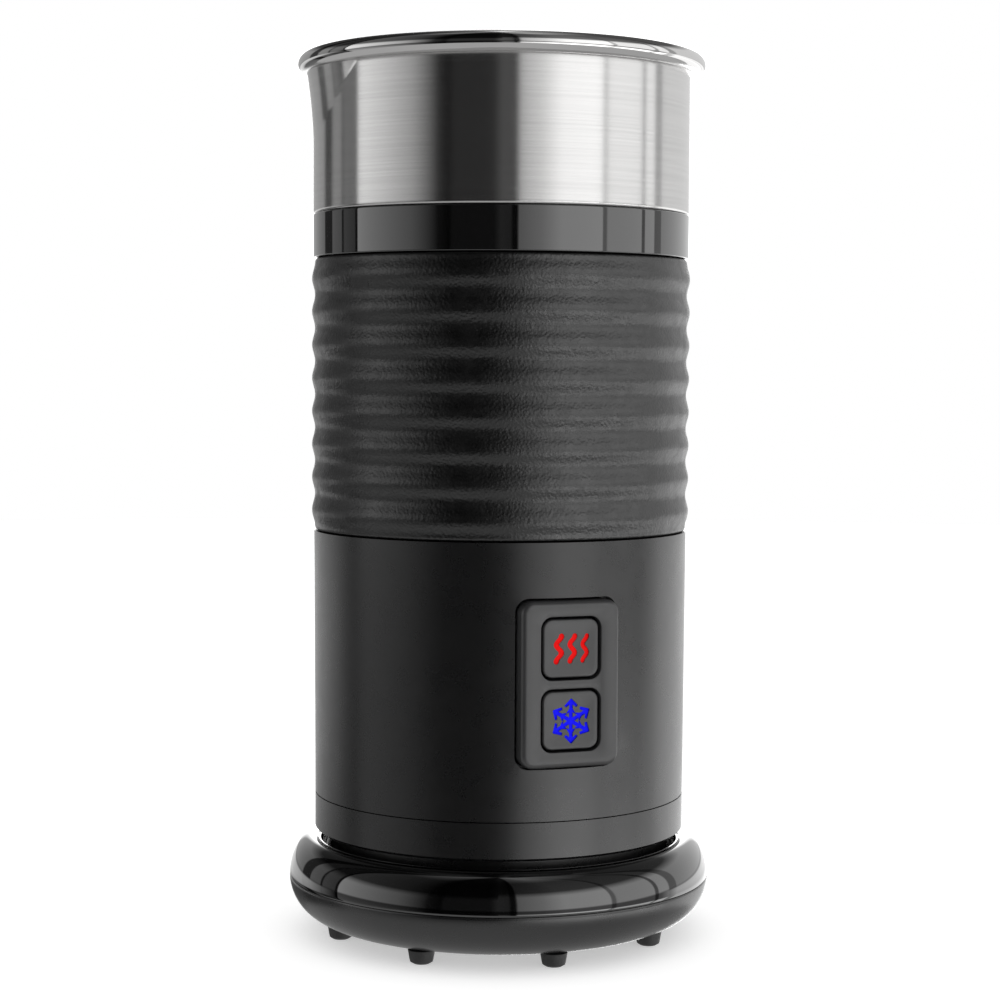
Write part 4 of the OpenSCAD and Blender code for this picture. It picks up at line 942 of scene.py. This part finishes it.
def snowflake(cx, cy, size):
    # Six arms with an arrowhead at the tip and a smaller one halfway
    stem = 0.088
    arm = [(stem / math.tan(math.radians(30)), stem), (0.38, stem), (0.305, 0.16), (0.37, 0.20),
           (0.54, stem), (0.71, stem), (0.60, 0.235), (0.68, 0.33), (0.99, 0.03)]
    points = []
    for k in range(6):
        angle = math.radians(90 + 60 * k)
        way, side = Vector((math.cos(angle), math.sin(angle))), Vector((math.sin(angle), -math.cos(angle)))
        for reach, width in arm:
            points.append(way * reach * size + side * width * size)
        for reach, width in arm[:0:-1]:
            points.append(way * reach * size - side * width * size)
    return [(cx + p.x, cy + p.y) for p in points]


def prism(outlines, low, high):
    shape = bmesh.new()
    for outline in outlines:
        bottom, top = loopAt(shape, outline, low), loopAt(shape, outline, high)
        bridge(shape, [bottom, top])
        fillBetween(shape, bottom)
        fillBetween(shape, top)
    bmesh.ops.recalc_face_normals(shape, faces=shape.faces)
    return shape


def makeKey(name, nodeName, symbolName, markName, outlines):
    low, high = panelBox(nodeName)
    cx, cy = (low[0] + high[0]) / 2, (low[1] + high[1]) / 2
    width, height = keySize()
    edge, corner, face = keys["edge"], keys["round"], high[2] - keys["sink"]
    stemEnd, lipBack = low[2], low[2] + keys["stemLength"]
    shape = bmesh.new()
    body = roundRect(cx, cy, width, height, corner)
    lip = roundRect(cx, cy, width + 2 * keys["lipOver"], height + 2 * keys["lipOver"], corner)
    loops = [loopAt(shape, lip, lipBack), loopAt(shape, lip, lipBack + keys["lip"]),
             loopAt(shape, body, lipBack + keys["lip"])]
    loops += edgeLoops(shape, cx, cy, width, height, corner, face, edge, edge, 4)
    # The face dips towards its middle, in rings that grow less round
    for k in range(1, keys["rings"]):
        share = 1 - k / keys["rings"]
        inset = 2 * edge + 2 * (1 - share) * (width / 2 - edge)
        bend = max(corner - edge, 0.1 * mm) * (0.25 + 0.75 * share) * min(1, share / 0.3)
        loops.append(loopAt(shape, roundRect(cx, cy, width - inset, height - inset, bend),
                            face - keys["dish"] * (1 - share * share)))
    bridge(shape, loops)
    centre, last = shape.verts.new(onPanel(cx, cy, face - keys["dish"])), loops[-1]
    for i in range(len(last)):
        shape.faces.new((last[i - 1], last[i], centre))
    fillBetween(shape, loops[0])
    addPeg(shape, cx, cy, ((keys["stemRadius"], stemEnd), (keys["stemRadius"], lipBack + 0.2 * mm)))
    bmesh.ops.recalc_face_normals(shape, faces=shape.faces)
    key = newPiece(name, shape, finishes["key_plastic"], 40)
    markTop = face - keys["dish"] - marks["sunk"]
    cutOut(key, prism(outlines(cx, cy), markTop - marks["thick"], face + 1 * mm))
    key.data.set_sharp_from_angle(angle=math.radians(40))
    finishPiece(key, nodeName)
    finishPiece(newPiece(markName, prism(outlines(cx, cy), markTop - marks["thick"], markTop),
                         finishes[slotOf[symbolName]], 30), symbolName)


def heatWaves(cx, cy):
    return [waveStroke(cx + x, cy - marks["waveDown"], marks["waveHeight"], width, swing)
            for x, width, swing in marks["waves"]]


def coldFlake(cx, cy):
    return [snowflake(cx + marks["flakePlace"][0], cy + marks["flakePlace"][1], marks["flakeSize"])]


makeBezel()
makeKey("heatKey", "heat_button", "heat_symbol", "heatMark", heatWaves)
makeKey("coldKey", "cold_button", "cold_symbol", "coldMark", coldFlake)
print("control panel made")


# Feet, whisk coil and screws
foot = dict(tip=2.6 * mm, top=3.2 * mm, stem=1.2 * mm, tipRound=0.7 * mm, sides=32, rows=14)
coil = dict(wire=0.42 * mm, turns=46, pointsPerTurn=14, sides=8)
screw = dict(pitch=0.9 * mm, depth=0.16 * mm, end=0.6 * mm, lead=0.2 * mm, crossWide=0.26, crossLong=1.25,
             crossDeep=1.2, dome=0.55, point=0.7, sides=28)
screwGroups = {  # head radius, head height, shank radius and where the head lies
    "base_screws": (2.8, 1.8, 1.2, "below"), "cap_screws": (2.8, 1.8, 1.2, "below"),
    "bracket_screws": (2.8, 1.8, 1.2, "below"), "motor_screws": (2.2, 1.4, 1.2, "above"),
    "board_screws": (2.2, 1.4, 1.2, "above"), "control_screws": (1.6, 1.1, 0.85, "behind")}


def makeFeet():
    boxes = solidBoxes("base_feet")
    t = Tree("baseFeet", tipRadius=foot["tip"], topRadius=foot["top"], height=boxes[0][1].z - boxes[0][0].z,
             shoulder=bowlBottom, stemRadius=foot["stem"], tipRound=foot["tipRound"], sides=foot["sides"],
             rows=foot["rows"])
    tip, top, height, shoulder, stem, tipRound, sides, rows = t.sizes
    peg = t.add("GeometryNodeMeshCylinder", {"Vertices": sides, "Side Segments": rows, "Radius": 1.0,
                                             "Depth": height})
    x, y, z = t.place()
    up = z + height * 0.5
    short = (tipRound - up).of("MAXIMUM")
    lost = tipRound - (tipRound ** 2 - short ** 2).of("SQRT")
    isStem = up > shoulder + 0.01 * mm
    reach = (tip + up / shoulder * (top - tip) - lost) * (1 - isStem) + stem * isStem
    shaped = t.moved(peg, t.vector(x * reach, y * reach, up))
    spread = t.add("GeometryNodeInstanceOnPoints", {"Points": t.points, "Instance": shaped})
    spots = [((a.x + b.x) / 2, (a.y + b.y) / 2, a.z) for a, b in boxes]
    finishPiece(t.run(spread, finishes["foot_rubber"], spots, 40), "base_feet")


def makeCoil():
    low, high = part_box("whisk_coil")
    outer = (high.z - low.z) / 2
    t = Tree("whiskCoil", ringRadius=high.x - outer, coilRadius=outer - coil["wire"],
             height=(high.z + low.z) / 2, wireRadius=coil["wire"], turns=coil["turns"],
             points=coil["turns"] * coil["pointsPerTurn"], sides=coil["sides"])
    ringRadius, coilRadius, height, wireRadius, turns, points, sides = t.sizes
    ring = t.add("GeometryNodeMeshCircle", {"Vertices": points, "Radius": 1.0})
    angle = Value(t.tree, t.add("GeometryNodeInputIndex")) / points * turn
    wind = angle * turns
    wound = t.moved(ring, t.turned(ringRadius + coilRadius * wind.of("COSINE"), angle,
                                   height + coilRadius * wind.of("SINE")))
    path = t.add("GeometryNodeMeshToCurve", {"Mesh": wound})
    section = t.add("GeometryNodeCurvePrimitiveCircle", {"Resolution": sides, "Radius": wireRadius})
    wire = t.add("GeometryNodeCurveToMesh", {"Curve": path, "Profile Curve": section})
    finishPiece(t.run(wire, finishes["coil_wire"]), "whisk_coil")


def makeScrews(nodeName, headRadius, headHeight, shankRadius, side):
    boxes = solidBoxes(nodeName)
    if side == "behind":
        low, high = panelBox(nodeName)
        length = high[2] - low[2] - headHeight
        middles = [onPanel(((a + b) / 2).dot(across), ((a + b) / 2).z, low[2] + headHeight) for a, b in boxes]
        turned = Vector((0, 0, 1)).rotation_difference(outward).to_euler()
    else:
        length = boxes[0][1].z - boxes[0][0].z - headHeight
        middles = [Vector(((a.x + b.x) / 2, (a.y + b.y) / 2,
                           a.z + headHeight if side == "below" else b.z - headHeight)) for a, b in boxes]
        turned = (0 if side == "below" else math.pi, 0, 0)
    first, *others = nodeName.split("_")
    t = Tree(first + "".join(word.capitalize() for word in others), headRadius=headRadius,
             headHeight=headHeight, shankRadius=shankRadius, length=length,
             crossWidth=headRadius * screw["crossWide"], crossLength=headRadius * screw["crossLong"],
             threadPitch=screw["pitch"], threadDepth=screw["depth"], sides=screw["sides"])
    radius, tall, shank, long, crossWidth, crossLength, pitch, depth, sides = t.sizes
    # Head: a disc whose outer rows bend down to its edge
    head = t.add("GeometryNodeMeshCylinder", {"Vertices": sides, "Side Segments": 1, "Fill Segments": 5,
                                              "Radius": radius, "Depth": tall}, fill_type="TRIANGLE_FAN")
    x, y, z = t.place()
    share = (x * x + y * y).of("SQRT") / radius
    shift = t.vector(z=share ** 3 * tall * screw["dome"] * (z < 0.0) - tall * 0.5)
    domed = t.add("GeometryNodeSetPosition", {"Geometry": head, "Offset": shift})
    bars = []
    for wide, tallWay in ((crossWidth, crossLength), (crossLength, crossWidth)):
        bar = t.add("GeometryNodeMeshCube", {"Size": t.vector(wide, tallWay, tall * screw["crossDeep"])})
        bars.append(t.add("GeometryNodeTransform", {"Geometry": bar, "Translation": t.vector(z=tall * -1.0)}))
    drilled = t.add("GeometryNodeMeshBoolean", {"Mesh 1": domed, "Mesh 2": t.join(*bars)},
                    operation="DIFFERENCE", solver="EXACT")
    # Shank: a core and a thread wound round it
    coreRadius, wound = shank - depth, long - screw["end"]
    core = t.add("GeometryNodeMeshCone", {"Vertices": 20, "Side Segments": 1, "Depth": long,
                                          "Radius Top": coreRadius * screw["point"],
                                          "Radius Bottom": coreRadius})
    helix = t.add("GeometryNodeCurveSpiral", {"Resolution": 14, "Rotations": wound / pitch, "Height": wound,
                                              "Start Radius": coreRadius, "End Radius": coreRadius})
    raised = t.add("GeometryNodeTransform", {"Geometry": helix, "Translation": (0, 0, screw["lead"])})
    ridge = t.add("GeometryNodeCurvePrimitiveCircle", {"Resolution": 3, "Radius": depth})
    ridged = t.add("GeometryNodeCurveToMesh", {"Curve": raised, "Profile Curve": ridge, "Fill Caps": True})
    spread = t.add("GeometryNodeInstanceOnPoints",
                   {"Points": t.points, "Instance": t.join(drilled, core, ridged), "Rotation": tuple(turned)})
    finishPiece(t.run(spread, finishes["zinc_plate"], middles, 32), nodeName)


makeFeet()
makeCoil()
for nodeName, (headRadius, headHeight, shankRadius, side) in screwGroups.items():
    makeScrews(nodeName, headRadius * mm, headHeight * mm, shankRadius * mm, side)
print("feet, coil and screws made")


# Studio: bright walls round the jug, a paper floor and the camera
studio = dict(lens=84.04, eye=(0, -561.7 * mm, 136.5 * mm), pitch=3.32, roll=0.27, background=1.0,
              floorGlow=0.46, floorColour=0.8, ground=0.5, groundBelow=-24, soft=0.95)
# Brightness of the walls by direction, in degrees from the front: to the left, then to the right
leftStops = [(-180, 3.2), (-170, 2.4), (-163, 0.45), (-134.5, 0.34), (-134, 0.05), (-123.5, 0.05),
             (-123, 0.32), (-112, 0.30), (-111.5, 0.03), (-110, 0.03), (-109.5, 0.22), (-98.5, 0.17),
             (-98, 0.02), (-96.3, 0.02), (-96, 1.15), (-76, 0.85), (-55, 0.50), (-38, 0.035),
             (-31, 0.010), (-29, 0.035), (-4, 0.035), (0, 0.11)]
rightStops = [(0, 0.11), (6, 0.09), (6.5, 0.02), (9.7, 0.02), (10.2, 0.62), (24, 0.95), (36, 1.5),
              (62.8, 1.6), (63.2, 0.6), (65.8, 0.6), (66.2, 1.3), (93.2, 1.25), (93.5, 0.35),
              (95.8, 0.35), (96.1, 1.25), (104.7, 1.2), (105.2, 0.42), (112, 0.42), (112.5, 0.85),
              (162, 0.8), (169, 2.6), (180, 3.4)]
# Low light from behind on either side, which draws the edges of the satin shell
rimStops = [(-180, 1.0), (-150, 0.7), (-126, 0.8), (-109, 0.3), (-98, 0), (98, 0), (104, 0.5), (112, 1.3),
            (150, 1.1), (180, 1.0)]
# Share of each brightness by height over the horizon, in degrees
leftHeights = [(-90, 1.0), (-24, 0.45), (-3, 0.2), (-1, 1.0), (18, 1.0), (27, 0.14), (62, 0.10), (80, 0.4),
               (90, 0.4)]
rightHeights = [(-90, 1.0), (-24, 1.7), (-12, 1.7), (-9.5, 0.25), (-3, 0.25), (-1, 1.0), (24, 1.0),
                (34, 0.14), (62, 0.10), (80, 0.4), (90, 0.4)]
rimHeights = [(-90, 0), (-13.2, 0), (-10, 0.8), (-6, 1), (-3.5, 1), (-2, 0), (90, 0)]


def fillRamp(ramp, stops, low, high):
    # Sets the stops of a colour ramp from (angle, brightness) pairs
    elements = ramp.color_ramp.elements
    while len(elements) < len(stops):
        elements.new(0.5)
    for element, (angle, value) in zip(elements, stops):
        element.position = (angle - low) / (high - low)
        element.color = (value, value, value, 1)


def makeStudio():
    world = bpy.data.worlds.new("studio")
    bpy.context.scene.world = world
    world.use_nodes = True
    tree = world.node_tree
    ray = tree.nodes.new("ShaderNodeSeparateXYZ")
    tree.links.new(tree.nodes.new("ShaderNodeTexCoord").outputs["Generated"], ray.inputs[0])
    x, y, z = [Value(tree, socket) for socket in ray.outputs]
    around, above = x.of("ARCTAN2", y * -1.0), z.of("ARCSINE")
    spin, tilt = around / math.pi, above / math.pi + 0.5

    def ramped(stops, low, high, source):
        node = tree.nodes.new("ShaderNodeValToRGB")
        fillRamp(node, stops, low, high)
        feed(tree, node.inputs["Fac"], source)
        return Value(tree, node.outputs["Color"])

    def wall(stops, low, high, source, heights):
        return ramped(stops, low, high, source) * ramped(heights, -90, 90, tilt)

    isRight, isGround = around > 0.0, above < math.radians(studio["groundBelow"])
    walls = (wall(leftStops, -180, 0, spin + 1.0, leftHeights) * (1 - isRight)
             + wall(rightStops, 0, 180, spin, rightHeights) * isRight
             + wall(rimStops, -180, 180, spin * 0.5 + 0.5, rimHeights))
    strength = walls * (1 - isGround) + isGround * studio["ground"]
    rays = tree.nodes.new("ShaderNodeLightPath").outputs
    for isRay, value in ((rays["Is Diffuse Ray"], studio["soft"]),
                         (rays["Is Camera Ray"], studio["background"])):
        mix = tree.nodes.new("ShaderNodeMix")
        for index, source in ((0, isRay), (2, strength), (3, value)):
            feed(tree, mix.inputs[index], source)
        strength = mix.outputs[0]
    feed(tree, tree.nodes["Background"].inputs["Strength"], strength)
    tree.nodes["Background"].inputs["Color"].default_value = (1, 1, 1, 1)

    floorShape = bmesh.new()
    bmesh.ops.create_circle(floorShape, cap_ends=True, segments=96, radius=1.5)
    floor = newPiece("studioFloor", floorShape, None)
    tone = studio["floorColour"]
    paper = Finish("paperFloor", (tone, tone, tone), 0.9, Specular_IOR_Level=0.0,
                   Emission_Color=(1, 1, 1, 1), Emission_Strength=studio["floorGlow"])
    paper.bumpFrom(paper.noise(1.2 * mm, 3), 0.01 * mm)
    floor.data.materials.append(paper.material)
    floor.visible_glossy = False

    camera = bpy.data.objects.new("camera", bpy.data.cameras.new("camera"))
    bpy.context.scene.collection.objects.link(camera)
    camera.data.lens = studio["lens"]
    camera.data.clip_start = 0.01
    pitched = Matrix.Rotation(math.radians(90 - studio["pitch"]), 4, "X")
    rolled = Matrix.Rotation(math.radians(studio["roll"]), 4, "Z")
    camera.matrix_world = Matrix.Translation(studio["eye"]) @ pitched @ rolled
    bpy.context.scene.camera = camera
    bpy.context.scene.view_settings.view_transform = "Standard"


makeStudio()
print("studio made")
